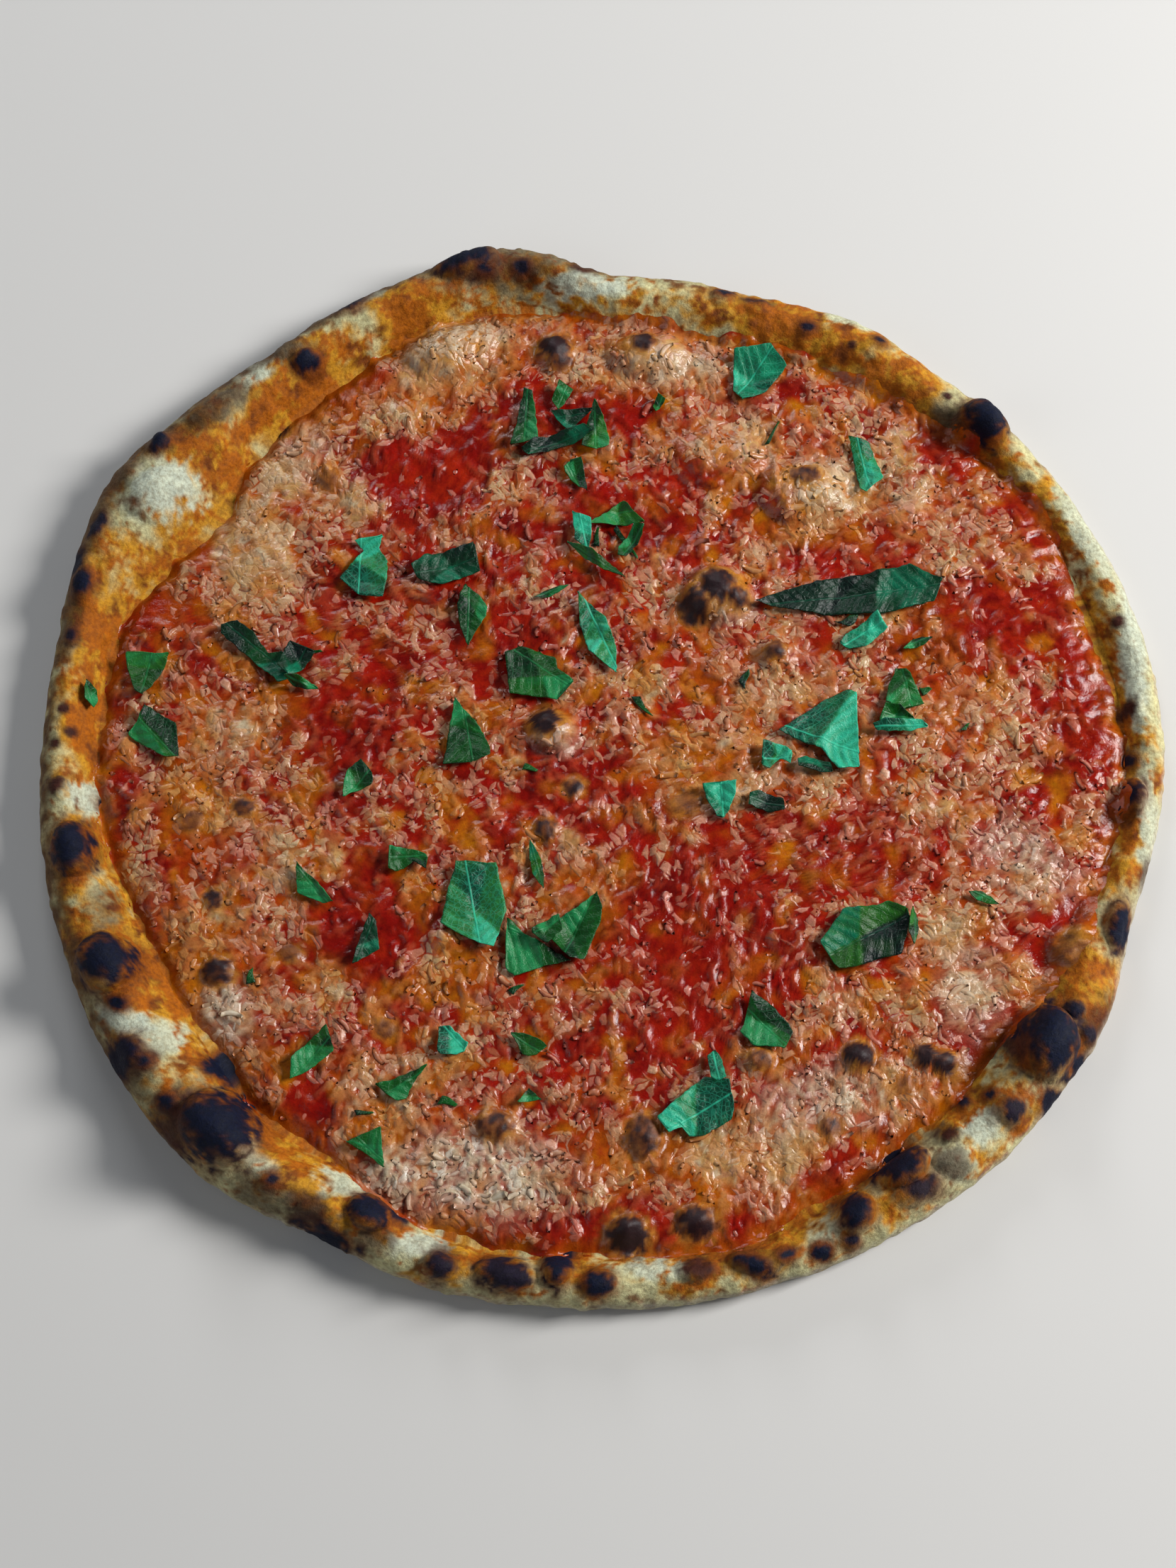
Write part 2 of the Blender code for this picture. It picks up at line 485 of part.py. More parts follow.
def pizza():
    """Make the crust, the topping on it and the leaves on that."""
    clear_scene()
    collection = bpy.data.collections.new("vegan_pizza")
    bpy.context.scene.collection.children.link(collection)
    dough = material("baked_dough", (0.6, 0.38, 0.17), 0.75)
    sauce = material("sauce_and_cheese", (0.42, 0.08, 0.025), 0.35)
    basil = {tone: material("basil_" + tone, colour, 0.5) for tone, colour in BASIL_TONES.items()}
    base = crust(dough, collection)
    layer = topping_layer(tree_of(base), sauce, collection)
    fuse_shreds(layer, base, sauce)
    trees = [tree_of(base), tree_of(layer)]
    draw = random.Random(SHRED_SEED)
    for number, row in enumerate(LEAVES, 1):
        laid = leaf(f"basil_{number:02}", row, trees, basil[row[-1]], collection, draw)
        trees.append(tree_of(laid))


pizza()
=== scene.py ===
# %% [markdown]
# # A vegan pizza
# A wood-fired pizza is three things laid on each other: a crust with a puffed and scorched rim, a thin
# layer of tomato sauce with melted shredded cheese, and torn basil leaves. Plain solids of these exist
# already. They fix every size and place, and this lesson makes the surfaces that the eye sees.
# The solids are loaded first, so that their box is known before anything is added to it.

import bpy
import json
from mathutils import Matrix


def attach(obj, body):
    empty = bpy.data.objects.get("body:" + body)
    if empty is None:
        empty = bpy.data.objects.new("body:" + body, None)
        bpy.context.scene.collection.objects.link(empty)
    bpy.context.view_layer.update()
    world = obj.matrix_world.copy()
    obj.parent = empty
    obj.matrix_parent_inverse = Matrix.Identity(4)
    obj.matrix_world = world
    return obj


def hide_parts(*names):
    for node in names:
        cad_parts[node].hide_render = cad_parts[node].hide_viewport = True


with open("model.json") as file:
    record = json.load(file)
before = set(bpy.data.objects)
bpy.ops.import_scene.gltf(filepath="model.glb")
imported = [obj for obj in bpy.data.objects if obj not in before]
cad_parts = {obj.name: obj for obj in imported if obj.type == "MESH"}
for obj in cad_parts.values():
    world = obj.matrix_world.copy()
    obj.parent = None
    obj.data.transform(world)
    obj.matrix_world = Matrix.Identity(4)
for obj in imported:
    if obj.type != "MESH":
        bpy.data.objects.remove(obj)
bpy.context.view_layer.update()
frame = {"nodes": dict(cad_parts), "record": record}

# %% [markdown]
# ## Units and libraries
# Blender works in metres here, but a pizza is easier to describe in millimetres. Tables and functions
# below are in millimetres, measured from the middle of the pizza, and a mesh is scaled as it is made.
# NumPy handles whole arrays of points at once, which keeps hundreds of thousands of points quick.

# %% Units and libraries
import json
import math

import bpy
import numpy as np
from mathutils import Vector, noise
from mathutils.bvhtree import BVHTree

MM = 0.001
SCENE = bpy.context.scene
print("one unit of the tables is", MM, "m")

# %% [markdown]
# ## The camera
# The picture was taken from in front and well above, about 72 degrees over the table, with a normal
# lens. A camera is placed on a line from its target, so distance and height above the horizon are the
# two numbers that matter. The target is a little off the middle, because the pizza is framed so.

# %% Place the camera
CAMERA_TARGET = Vector((-4.6, -10.5, 4.0)) * MM
CAMERA_DISTANCE = 0.80
CAMERA_ELEVATION = math.radians(72)
CAMERA_LENS = 62.65

camera = bpy.data.objects.new("camera", bpy.data.cameras.new("camera"))
SCENE.collection.objects.link(camera)
camera.data.lens = CAMERA_LENS
camera.location = CAMERA_TARGET + CAMERA_DISTANCE * Vector(
    (0, -math.cos(CAMERA_ELEVATION), math.sin(CAMERA_ELEVATION)))
camera.rotation_euler = (math.pi / 2 - CAMERA_ELEVATION, 0, 0)
SCENE.camera = camera
print("camera at", [round(value, 3) for value in camera.location])

# %% [markdown]
# ## Floor and light
# Food looks appetising in soft light from one side with a weaker fill from the other: wet sauce and
# oil show as small highlights, and the rim keeps a shaded flank. Area lights give soft shadows for
# little render time. The Standard view keeps the reds and greens as saturated as the finishes are.

# %% Floor, lights and view
FLOOR_SIZE = 6.0
FLOOR_DROP = 0.0004
LIGHTS = (
    # name, place, size, power in watts, colour
    ("key", (1.2, 0.25, 0.85), 0.5, 31.0, (1.0, 0.99, 0.975)),
    ("back", (-0.3, 1.3, 0.7), 0.5, 7.0, (0.93, 0.96, 1.0)),
    ("fill", (-1.1, -0.5, 0.7), 1.0, 3.5, (0.95, 0.97, 1.0)),
)
SKY_COLOUR = (0.8, 0.88, 1.0)
SKY_STRENGTH = 0.09


def new_material(name):
    """An empty node material with its shader."""
    finish = bpy.data.materials.new(name)
    finish.use_nodes = True
    return finish, finish.node_tree, finish.node_tree.nodes["Principled BSDF"]


def add_floor():
    """A wide pale sheet just under the pizza."""
    bpy.ops.mesh.primitive_plane_add(size=FLOOR_SIZE, location=(0, 0, -FLOOR_DROP))
    floor = bpy.context.active_object
    floor.name = "floor"
    finish, _, shader = new_material("pale_floor")
    shader.inputs["Base Color"].default_value = (0.62, 0.61, 0.59, 1)
    shader.inputs["Roughness"].default_value = 0.85
    floor.data.materials.append(finish)
    return floor


def add_light(name, place, size, power, colour):
    """A soft square light that faces the pizza."""
    light = bpy.data.lights.new(name, "AREA")
    light.size, light.energy, light.color = size, power, colour
    lamp = bpy.data.objects.new(name, light)
    lamp.location = place
    lamp.rotation_euler = Vector(place).to_track_quat("Z", "Y").to_euler()
    SCENE.collection.objects.link(lamp)
    return lamp


floor = add_floor()
lamps = [add_light(*row) for row in LIGHTS]
SCENE.world = bpy.data.worlds.new("soft_sky")
SCENE.world.use_nodes = True
sky = SCENE.world.node_tree.nodes["Background"]
sky.inputs["Color"].default_value = (*SKY_COLOUR, 1)
sky.inputs["Strength"].default_value = SKY_STRENGTH
SCENE.view_settings.view_transform = "Standard"
print("lights:", [lamp.name for lamp in lamps])

# %% [markdown]
# ## Helpers for uneven food
# Nothing on a pizza is regular. Three helpers make that: lumps is smooth noise at a given size,
# dome_height raises blisters with an oval foot, and spots gives the share of a stain at each point,
# with an edge that the noise makes ragged. Each takes arrays of points and returns arrays. An oval is
# a row of six numbers: x, y, half length, half width, turn in degrees, and a height or a strength.

# %% Noise, domes and spots
def lumps(x, y, size, z=0.0):
    """Smooth unevenness between -1 and 1 at each place."""
    places = np.stack(np.broadcast_arrays(x, y, z), -1).reshape(-1, 3) / size
    values = np.array([noise.noise(place) for place in places.tolist()])
    return values.reshape(np.shape(x))


def blend(start, end, share):
    """From one colour to another, by a share between 0 and 1 at each place."""
    start, end = np.asarray(start), np.asarray(end)
    return start + (end - start) * np.clip(share, 0, 1)[..., None]


def ease(low, high, value):
    """0 below low, 1 above high, and a smooth step between."""
    share = np.clip((value - low) / (high - low), 0, 1)
    return share * share * (3 - 2 * share)


def along_and_across(x, y, middle_x, middle_y, turn):
    """Each place as seen from something turned: how far along it and across it."""
    along = (x - middle_x) * math.cos(turn) + (y - middle_y) * math.sin(turn)
    across = (y - middle_y) * math.cos(turn) - (x - middle_x) * math.sin(turn)
    return along, across


def oval_reach(x, y, middle_x, middle_y, half_length, half_width, turn):
    """How far out a place is in an oval: 0 in its middle and 1 on its edge."""
    along, across = along_and_across(x, y, middle_x, middle_y, math.radians(turn))
    return np.hypot(along / half_length, across / half_width)


def widened(ovals, by):
    """The same ovals, each larger all round."""
    return [(x, y, length + by, width + by, turn, value) for x, y, length, width, turn, value in ovals]


def dome_height(x, y, domes, roundness=1.0):
    """How far the highest dome at each place stands up."""
    height = np.zeros(np.shape(x))
    for *oval, top in domes:
        room = np.clip(1 - oval_reach(x, y, *oval) ** 2, 0, 1)
        height = np.maximum(height, top * room ** roundness)
    return height


def spots(x, y, rows, soft=0.35, ragged=0.0):
    """The share of a stain at each place, from ovals with a strength."""
    share = np.zeros(np.shape(x))
    for *oval, strength in rows:
        reach = oval_reach(x, y, *oval) + ragged
        share = np.maximum(share, strength * ease(1 + soft, 1 - soft, reach))
    return share


print("a lump of", lumps(np.array([3.0]), np.array([4.0]), 10).round(3))

# %% [markdown]
# ## Smooth curves through a few sizes
# The rim's radius, width and height were measured every 10 or 15 degrees. A Catmull-Rom curve passes
# through each of them and stays smooth between, both round the rim and along its cross-section.

# %% Curves through named sizes
def glide(before, start, end, after, share):
    """Catmull-Rom: from start to end, bending towards the values on either side."""
    return 0.5 * (2 * start + (end - before) * share
                  + (2 * before - 5 * start + 4 * end - after) * share ** 2
                  + (3 * start - before - 3 * end + after) * share ** 3)


def round_the_rim(values, angle):
    """A value for each angle, running smoothly through the ones that are given."""
    values = np.asarray(values, float)
    place = np.asarray(angle) / math.tau * len(values)
    first = np.floor(place).astype(int)
    before, start, end, after = (values[(first + step) % len(values)] for step in (-1, 0, 1, 2))
    return glide(before, start, end, after, place - first)


def along_rows(rows, count):
    """An even count of rows on a smooth curve through the given rows."""
    rows = np.asarray(rows, float)
    padded = np.concatenate((2 * rows[:1] - rows[1:2], rows, 2 * rows[-1:] - rows[-2:-1]))
    place = np.linspace(0, len(rows) - 1, count)
    first = np.minimum(place.astype(int), len(rows) - 2)
    before, start, end, after = (padded[first + step] for step in range(4))
    return glide(before, start, end, after, (place - first)[:, None])


EDGE_RADIUS = (165, 165, 164, 163, 161.5, 159, 159.5, 156, 155.5, 156, 166, 165,
               164, 163.5, 167, 172, 169, 165.5, 165, 166, 166.5, 168, 169, 169,
               164, 164.5, 163.5, 163, 163, 163.5, 164, 165, 165, 165, 161, 163)
RIM_WIDTH = (12, 13, 13, 16, 20, 19, 17, 18, 18, 21, 32, 18,
             16, 20, 25, 24, 20, 14, 15, 14, 18, 21, 22, 14)
RIM_HEIGHT = (8, 8.5, 8, 10, 12, 11, 12, 15, 14, 15, 15.5, 13,
              12.5, 14, 15, 16, 14, 11, 11, 10, 12, 12, 12, 9)
TOPPING_RADIUS = (153, 150, 153, 147, 143, 140, 142, 148, 145, 143, 138, 150,
                  148, 147, 142, 143, 145, 150, 149, 150, 146, 144, 147, 152)
print("rim at 45 degrees:", round(float(round_the_rim(EDGE_RADIUS, math.pi / 4)), 1), "mm out")

# %% [markdown]
# ## The crust's form
# Hand-stretched dough bakes into a flat floor with a puffed rim, and gas bubbles under its skin swell
# into blisters. One cross-section, scaled by the rim's width and height, is swept round the edge:
# rings of points that follow the section, one spoke for each small step round the rim. The blisters
# are domes on it, steeper than a paraboloid so that they look blown up. Then small lumps and tiny
# bubbles move each point along the surface's own direction, which also roughens the steep flank.

# %% Blisters and sizes of the crust
CRUST_SECTION = ((0.32, 0), (0.07, 0.1), (0, 0.38), (0.06, 0.68), (0.2, 0.9), (0.42, 1),
                 (0.62, 0.9), (0.8, 0.62), (0.93, 0.35), (1, 0))
FLOOR_THICKNESS = 3.0
INNER_FOOT = 0.93        # past this share of the rim's width, the rim runs down to the floor
INNER_FOOT_HEIGHT = 0.35
RIM_UNEVENNESS = 1.2
RIM_LUMP_SIZE = 14.0
SPOKES = 1200
SECTION_ROWS = 56
UNDERSIDE_ROWS = 8
BLISTER_ROUNDNESS = 0.62

# x, y, half length, half width, turn in degrees, height
CRUST_BLISTERS = (
    (-90, 122, 4.5, 3.8, 0, 2.5), (-95, 127, 6, 3.5, 30, 1.5), (-135, 95, 4, 3.4, 30, 2.2),
    (-144, 85, 5, 5, 0, 1.8), (-132, 77, 11, 9, 20, 3), (-118, 106, 9, 5, 30, 2),
    (-42, 156, 11, 7, 10, 3), (-14, 154, 12, 5, -10, 1.5), (37, 145, 4, 3, 0, 1.8),
    (48, 141, 5, 3, -20, 1.5), (84, 127, 6, 4, -40, 1.6), (115, 102, 9, 8, 0, 7),
    (156, 13, 4, 3, 60, 1.2), (152, -15.5, 6.5, 6.5, 0, 6), (148, -54.5, 4.5, 8, -10, 2.5),
    (123, -89, 10, 12, 20, 8), (133, -80, 3, 3, 0, 1.5), (137, -87, 3, 3, 0, 1.5),
    (113.5, -109, 4.5, 4, 0, 2), (96, -114, 4.2, 4, 0, 2.5), (97.5, -123, 6, 5, 0, 3),
    (82, -122.5, 8.7, 7.7, 20, 6), (86, -132, 8, 3.5, 20, 1.5), (70, -137, 4.8, 6.5, -10, 4.5),
    (43, -149, 9, 5, 0, 3), (25, -152, 6, 5, 0, 3), (-1.5, -156.5, 4.8, 3.5, 0, 1.8),
    (-13, -150, 4.3, 7.5, 0, 4.5), (-27, -153.5, 8.5, 5, -10, 2.5), (-45.5, -152, 4.5, 4.3, 0, 2),
    (-64, -137, 6.5, 6, 0, 5), (-57, -137, 3.8, 3.5, 0, 3), (-78, -139, 8, 5, -15, 2.5),
    (-106.5, -114, 12, 11.5, 0, 9), (-131, -95, 6, 6, 0, 2.5), (-141.5, -67, 9, 8.5, 0, 8),
    (-151.5, -33, 7, 8, 0, 6), (-159, -15, 4.5, 4.5, 0, 1.5), (-155.5, 51, 4, 8, -15, 2.5),
)
print(len(CRUST_BLISTERS), "large blisters on the rim")

# %% Sweep the crust
def grid_normals(points):
    """The outward direction at each point of rings that close round the rim."""
    along = np.gradient(points, axis=0)
    around = np.roll(points, -1, axis=1) - np.roll(points, 1, axis=1)
    normals = np.cross(around, along)
    return normals / np.maximum(np.linalg.norm(normals, axis=-1, keepdims=True), 1e-9)


def small_bubbles(seed, count, sizes, heights):
    """Random small domes on the rim, in the same form as the large ones."""
    draw = np.random.default_rng(seed)
    angle = draw.uniform(0, math.tau, count)
    inset = draw.uniform(0.02, 0.95, count) * round_the_rim(RIM_WIDTH, angle)
    radius = round_the_rim(EDGE_RADIUS, angle) - inset
    size = draw.uniform(*sizes, count)
    shape = draw.uniform(0.65, 1.0, count)
    turn = draw.uniform(0, 180, count)
    height = draw.uniform(*heights, count) * size
    return list(zip(radius * np.cos(angle), radius * np.sin(angle), size, size * shape, turn, height))


def crust_rings():
    """Points of the crust's rim, ring by ring from its foot over the top to the sauce."""
    angle = np.arange(SPOKES) * math.tau / SPOKES
    inset, share = along_rows(CRUST_SECTION, SECTION_ROWS).T[..., None]
    radius = round_the_rim(EDGE_RADIUS, angle) - inset * round_the_rim(RIM_WIDTH, angle)
    x, y = radius * np.cos(angle), radius * np.sin(angle)
    swell = (dome_height(x, y, CRUST_BLISTERS, BLISTER_ROUNDNESS)
             + RIM_UNEVENNESS * lumps(x, y, RIM_LUMP_SIZE))
    z = share * (round_the_rim(RIM_HEIGHT, angle) + swell)
    z = np.where(inset > INNER_FOOT, z + FLOOR_THICKNESS * (1 - share / INNER_FOOT_HEIGHT), z)
    points = np.stack((x, y, np.maximum(z, 0)), -1)
    lift = (0.55 * lumps(x, y, 6.5, z) + 0.3 * lumps(x, y, 2.6, z)
            + dome_height(x, y, small_bubbles(3, 420, (0.8, 2.6), (0.12, 0.3)), 0.7))
    firm = ease(0, 0.15, np.broadcast_to(share, x.shape)) * ease(1.02, 0.9, np.broadcast_to(inset, x.shape))
    points += grid_normals(points) * (lift * firm)[..., None]
    return points, np.broadcast_to(inset, x.shape)


def ring_faces(rows, spokes):
    """Squares between rings of points that close round the rim."""
    row, spoke = np.meshgrid(np.arange(rows - 1), np.arange(spokes), indexing="ij")
    following = (spoke + 1) % spokes
    return np.stack((row * spokes + spoke, row * spokes + following,
                     (row + 1) * spokes + following, (row + 1) * spokes + spoke), -1).reshape(-1, 4)


def add_mesh(name, points, faces, finish):
    """A smooth mesh object in metres from points in millimetres."""
    mesh = bpy.data.meshes.new(name)
    mesh.from_pydata((np.asarray(points) * MM).tolist(), [], [tuple(face) for face in faces])
    mesh.shade_smooth()
    mesh.materials.append(finish)
    piece = bpy.data.objects.new(name, mesh)
    SCENE.collection.objects.link(piece)
    return piece


rim_points, rim_inset = crust_rings()
print("rim:", rim_points.shape[0], "rings of", rim_points.shape[1], "points, highest",
      rim_points[..., 2].max().round(1), "mm")

# %% [markdown]
# ## The crust's colours
# A wood oven scorches the rim unevenly: raw and pale in folds, golden on swellings, brown round the
# blisters and black on their tops, with flour left on the outer side. These stains follow the shape,
# so they are worked out at each point of the mesh and kept as a colour attribute. A shader alone
# could only scatter them at random. The black blisters are in a table, measured one by one, and the
# skin is lifted a little under each of them, because char forms where the dough stands highest. The
# outer flank on the side away from the key light is darkened as well, which is a painted shade.

# %% Where the crust is scorched
# x, y, half length, half width, turn in degrees, strength
CHAR_SPOTS = (
    (-43, 156, 10, 5, 8, 1), (-37, 152, 3, 1, 0, 1), (-25, 154, 2.5, 2, 0, 0.9),
    (38, 147, 3, 1.7, -10, 1), (116, 103, 7, 7.8, 0, 1), (151.5, -15, 5.7, 5.7, 0, 1),
    (148, -55, 3.3, 7.7, -8, 1), (126, -88, 9, 12, 15, 1), (134, -95, 3, 3, 0, 1),
    (126, -106, 4.5, 3, 40, 0.95), (113.5, -109, 4, 3.5, 0, 0.85), (101, -105, 1.8, 1.5, 0, 0.9),
    (108, -104, 1.6, 1.4, 0, 0.9), (81.5, -123, 7.8, 6.5, 15, 0.97), (69, -137, 4.7, 5.3, -10, 1),
    (68, -145, 2, 2, 0, 0.9), (60, -148, 2.6, 1.8, 10, 1), (41, -152, 6, 2.2, -28, 1),
    (50, -149, 2.5, 1.3, 20, 1), (25.5, -139.6, 4.3, 3.8, 0, 0.85), (6.4, -144, 4.3, 4.3, 0, 0.97),
    (-2, -157, 4.5, 3.5, 0, 1), (-13, -150, 4, 8, -6, 1), (-27.5, -154, 7.5, 4.5, -12, 0.88),
    (-45.5, -152, 4, 3.5, 0, 0.85), (-57, -137, 3, 3, 0, 0.85), (-64.6, -136.4, 6, 5, 0, 1),
    (-77, -145, 10, 3, -24, 1), (-92, -129, 2, 2, 0, 0.9), (-106.5, -114, 10.5, 11, 0, 1),
    (-122, -107, 2.5, 2, 0, 1), (-108.6, -95.7, 5, 3, -20, 1), (-128, -96, 2, 1.5, 0, 1),
    (-135, -94, 6, 5, 30, 0.92), (-137, -79, 3, 1.5, -30, 1), (-141, -67, 9, 8, -10, 1),
    (-153, -33, 6, 8, 8, 1), (-136.7, -30.5, 1.8, 1.6, 0, 1), (-145.4, -15.6, 2.5, 2.2, 0, 0.8),
    (-154.5, 49.5, 3, 4.5, -10, 1), (-157, 57, 2.5, 5, -10, 0.95), (-151.6, 68, 2.5, 4, -20, 0.9),
    (-134.4, 94.7, 3.9, 3.5, 30, 1), (-90.4, 121.8, 3.8, 2.9, 20, 1), (-78.5, 142, 5, 3.5, 20, 0.95),
    (63, 134.5, 2, 1.5, 0, 0.9), (85, 129.5, 2, 1.3, -20, 0.85), (154.5, -3.7, 2, 2, 0, 0.85),
    (133, -80, 2.2, 2.2, 0, 0.8), (137, -86.5, 2.3, 2.3, 0, 0.85), (87.5, -131, 7, 3, 22, 0.8),
    (-157, 32.7, 1.5, 2, 0, 0.85),
)
BROWN_SPOTS = (
    (-30, 154, 22, 7, 6, 0.75), (-6, 155, 6, 3, 0, 1), (47, 144, 5, 2, -15, 1), (76, 128, 1.7, 1.5, 0, 1),
    (104, 103, 7, 9, 0, 0.8), (105, 112, 2, 1.6, 0, 1), (153, 39, 2.5, 3, 0, 1), (143, 43, 2, 2, 0, 1),
    (155, 12.6, 4, 2.5, 60, 1), (157, -40, 3, 6, -8, 0.9), (117, -88, 6, 11, 12, 0.95),
    (96, -115, 4, 3.5, 0, 1), (97, -124, 5.5, 5, 0, 0.7), (39, -141.5, 2.6, 2.2, 0, 1),
    (26, -152.5, 5.5, 4.5, 0, 1), (-45, -150, 6, 6, 0, 0.6), (-63, -145, 6, 4, 0, 0.8),
    (-82, -137, 9, 5, -20, 0.9), (-118, -113, 9, 12, -45, 1), (-134, -96, 9, 8, 20, 0.85),
    (-143, -50, 5, 7, 0, 0.6), (-159, -14, 4, 4, 0, 1), (-160, -1, 2.2, 2.2, 0, 1), (-156, 3, 2, 2, 0, 1),
    (-158, 10, 2, 2, 0, 1), (-145.5, 84, 7, 4, 40, 0.85), (-117.5, 105.5, 13, 4.5, 40, 0.85),
    (-98, 125, 8, 4, 30, 0.8), (-130, -35, 3, 2, 0, 0.9), (-157, 40, 4, 14, -6, 0.7),
    (-152, 72, 4, 10, -25, 0.7), (40, -150, 12, 5, 0, 0.35), (140, -84, 5, 12, -30, 0.7),
    (-95, -132, 10, 5, -30, 0.7), (-84, 140, 14, 4, 28, 0.8),
)
PALE_PATCHES = (
    (-134, -84, 9, 4, -12, 1), (-5, 149, 13, 4, 0, 1), (-75, 146, 8, 4, 25, 0.9),
    (-105, 120, 8, 5, 40, 0.9), (-132, 79, 11, 8, 20, 1), (157, 30, 4, 26, 0, 0.9),
    (158, -28, 3.5, 20, 0, 0.7), (146, 66, 4, 16, 28, 0.7), (-150, -16, 7, 5, 0, 0.9),
    (-50, -146, 9, 4, 0, 0.9), (105, -113, 6, 5, 40, 0.9), (97, -124, 6, 5, 0, 0.5),
    (14, -152, 8, 4, 0, 0.8), (-125, -88, 8, 5, 0, 0.7), (-156, 22, 3, 6, 0, 0.4),
    (60, -141, 5, 4, 0, 0.5), (-96, -122, 4, 8, 40, 0.6), (-72, -128, 10, 5, 0, 0.7),
    (75, 138, 8, 3, -30, 0.5),
)
GOLD_PATCHES = (
    (-128, -70, 7, 12, 10, 1), (-152, -52, 5, 10, 0, 0.8), (-150, 20, 8, 30, 0, 0.75),
    (60, 140, 30, 9, -22, 0.9), (-95, 112, 14, 7, 40, 0.9), (-118, 90, 10, 10, 0, 0.7),
    (-95, -112, 7, 12, 30, 0.9), (45, -143, 9, 6, 0, 0.85), (92, 122, 12, 7, -40, 0.9),
    (-145, 8, 8, 20, 0, 0.7), (150, -75, 6, 12, 0, 0.6), (136, -70, 8, 8, 0, 0.8),
    (-80, -126, 10, 6, 0, 0.6), (-60, 140, 12, 8, 0, 0.7), (152, 0, 4, 26, 0, 0.8),
)
print(len(CHAR_SPOTS), "scorched spots,", len(BROWN_SPOTS), "brown ones")

# %% Colour the crust
PALE_DOUGH = (0.44, 0.42, 0.23)
RAW_DOUGH = (0.42, 0.46, 0.37)
GOLD_DOUGH = (0.42, 0.2, 0.012)
AMBER_DOUGH = (0.29, 0.07, 0.001)
TOASTED_DOUGH = (0.11, 0.026, 0.003)
# painted shade for the outer flank on the side away from the key light
PAINTED_FLANK_SHADE = (0.09, 0.045, 0.016)
BROWN_DOUGH = (0.04, 0.01, 0.006)
CHARRED_DOUGH = (0.001, 0.003, 0.015)
FLOUR = (0.36, 0.33, 0.26)
HALO_WIDTH = 1.6          # of toasted dough round a scorched spot
CHAR_MARGIN = 1.5         # a blister stands this much wider than its char
CHAR_LIFT = 1.6           # the most that one is lifted
CHAR_ROUNDNESS = 0.7


def crust_colours(points, inset):
    """The dough's colour at each point, from pale to charred, with a painted shade on the flank away from the
    key light.
    """
    x, y, z = np.moveaxis(points, -1, 0)
    coarse, medium, fine = (lumps(x, y, size, z) for size in (11, 4, 1.6))
    ragged = 0.32 * medium + 0.22 * fine
    colour = blend(PALE_DOUGH, RAW_DOUGH, spots(x, y, PALE_PATCHES, 0.4, ragged))
    gold = (0.42 + 0.7 * coarse + 0.5 * medium + 0.3 * fine + 0.5 * (inset - 0.4)
            + 0.7 * spots(x, y, GOLD_PATCHES, 0.5, ragged) - 0.75 * spots(x, y, PALE_PATCHES, 0.5, ragged))
    colour = blend(colour, GOLD_DOUGH, ease(0.1, 0.7, gold))
    amber = ease(0.45, 1.1, gold + 0.9 * lumps(x - 60, y, 6, z) + 0.6 * fine)
    colour = blend(colour, AMBER_DOUGH, 0.9 * amber)
    toasted = 1.7 * (lumps(x + 90, y, 6.5, z) + 0.6 * medium + 0.45 * fine - 0.2)
    toasted -= 0.8 * spots(x, y, PALE_PATCHES, 0.5, ragged)
    halo = spots(x, y, widened(CHAR_SPOTS, HALO_WIDTH), 0.45, ragged)
    colour = blend(colour, TOASTED_DOUGH, np.maximum(0.85 * ease(0, 1, toasted), halo))
    colour = blend(colour, BROWN_DOUGH, spots(x, y, BROWN_SPOTS, 0.45, 1.3 * ragged + 0.1))
    floury = ease(0.16, 0.02, inset) * ease(9, 5, z) * (0.75 + 0.8 * medium + 0.5 * fine)
    colour = blend(colour, FLOUR, 0.8 * floury)
    # painted shade: the outer flank that faces away from the key light, up and to the left, is darkened
    away_from_light = (0.45 * y - 0.9 * x) / np.hypot(x, y)
    painted_flank_shade = ease(0.36, 0.1, inset) * ease(0.1, 0.7, away_from_light)
    colour = blend(colour, PAINTED_FLANK_SHADE, painted_flank_shade * (0.8 + 0.8 * medium))
    colour = blend(colour, BROWN_DOUGH, spots(x, y, CHAR_SPOTS, 0.3, 1.5 * ragged + 0.1))
    return blend(colour, CHARRED_DOUGH, spots(x, y, CHAR_SPOTS, 0.22, 1.7 * ragged + 0.16))


def set_colour(mesh, name, colours):
    """Keep a colour for each point of a mesh, for its material to read."""
    colours = np.clip(np.asarray(colours).reshape(-1, 3), 0, 1)
    full = np.concatenate((colours, np.ones((len(colours), 1))), 1)
    kept = mesh.attributes.new(name, "FLOAT_COLOR", "POINT")
    kept.data.foreach_set("color", full.astype(np.float32).ravel())


def with_raised_chars(points, inset):
    """The rim's points, lifted where a scorched blister stands, but not on its foot or its highest part."""
    blisters = [(x, y, length, width, turn, min(0.2 * (min(length, width) - CHAR_MARGIN) + 0.4, CHAR_LIFT))
                for x, y, length, width, turn, _ in widened(CHAR_SPOTS, CHAR_MARGIN)]
    normals = grid_normals(points)
    lift = dome_height(points[..., 0], points[..., 1], blisters, CHAR_ROUNDNESS)
    lift *= ease(0.08, 0.25, inset) * ease(1.02, 0.85, inset)
    lift *= ease(0, 0.4, normals[..., 2]) * ease(25, 19, points[..., 2])
    return points + normals * lift[..., None]


rim_points = with_raised_chars(rim_points, rim_inset)
rim_colours = crust_colours(rim_points, rim_inset)
print("mean colour of the rim:", rim_colours.reshape(-1, 3).mean(0).round(3))

# %% [markdown]
# ## The crust's finish
# Baked dough is dull and slightly rough, its char a little shinier with a crackled skin, and its pores
# are too fine for the mesh. The material reads the colours above and adds what is finer: noise that
# shifts the colour a little and a bump from two sizes of noise. All of it is on
# Object coordinates, so that it stays in place when the pizza moves.

# %% Material helpers
def socket_values(node, **values):
    """Set sockets of a node by name, with _ for a space."""
    for name, value in values.items():
        node.inputs[name.replace("_", " ")].default_value = value
    return node


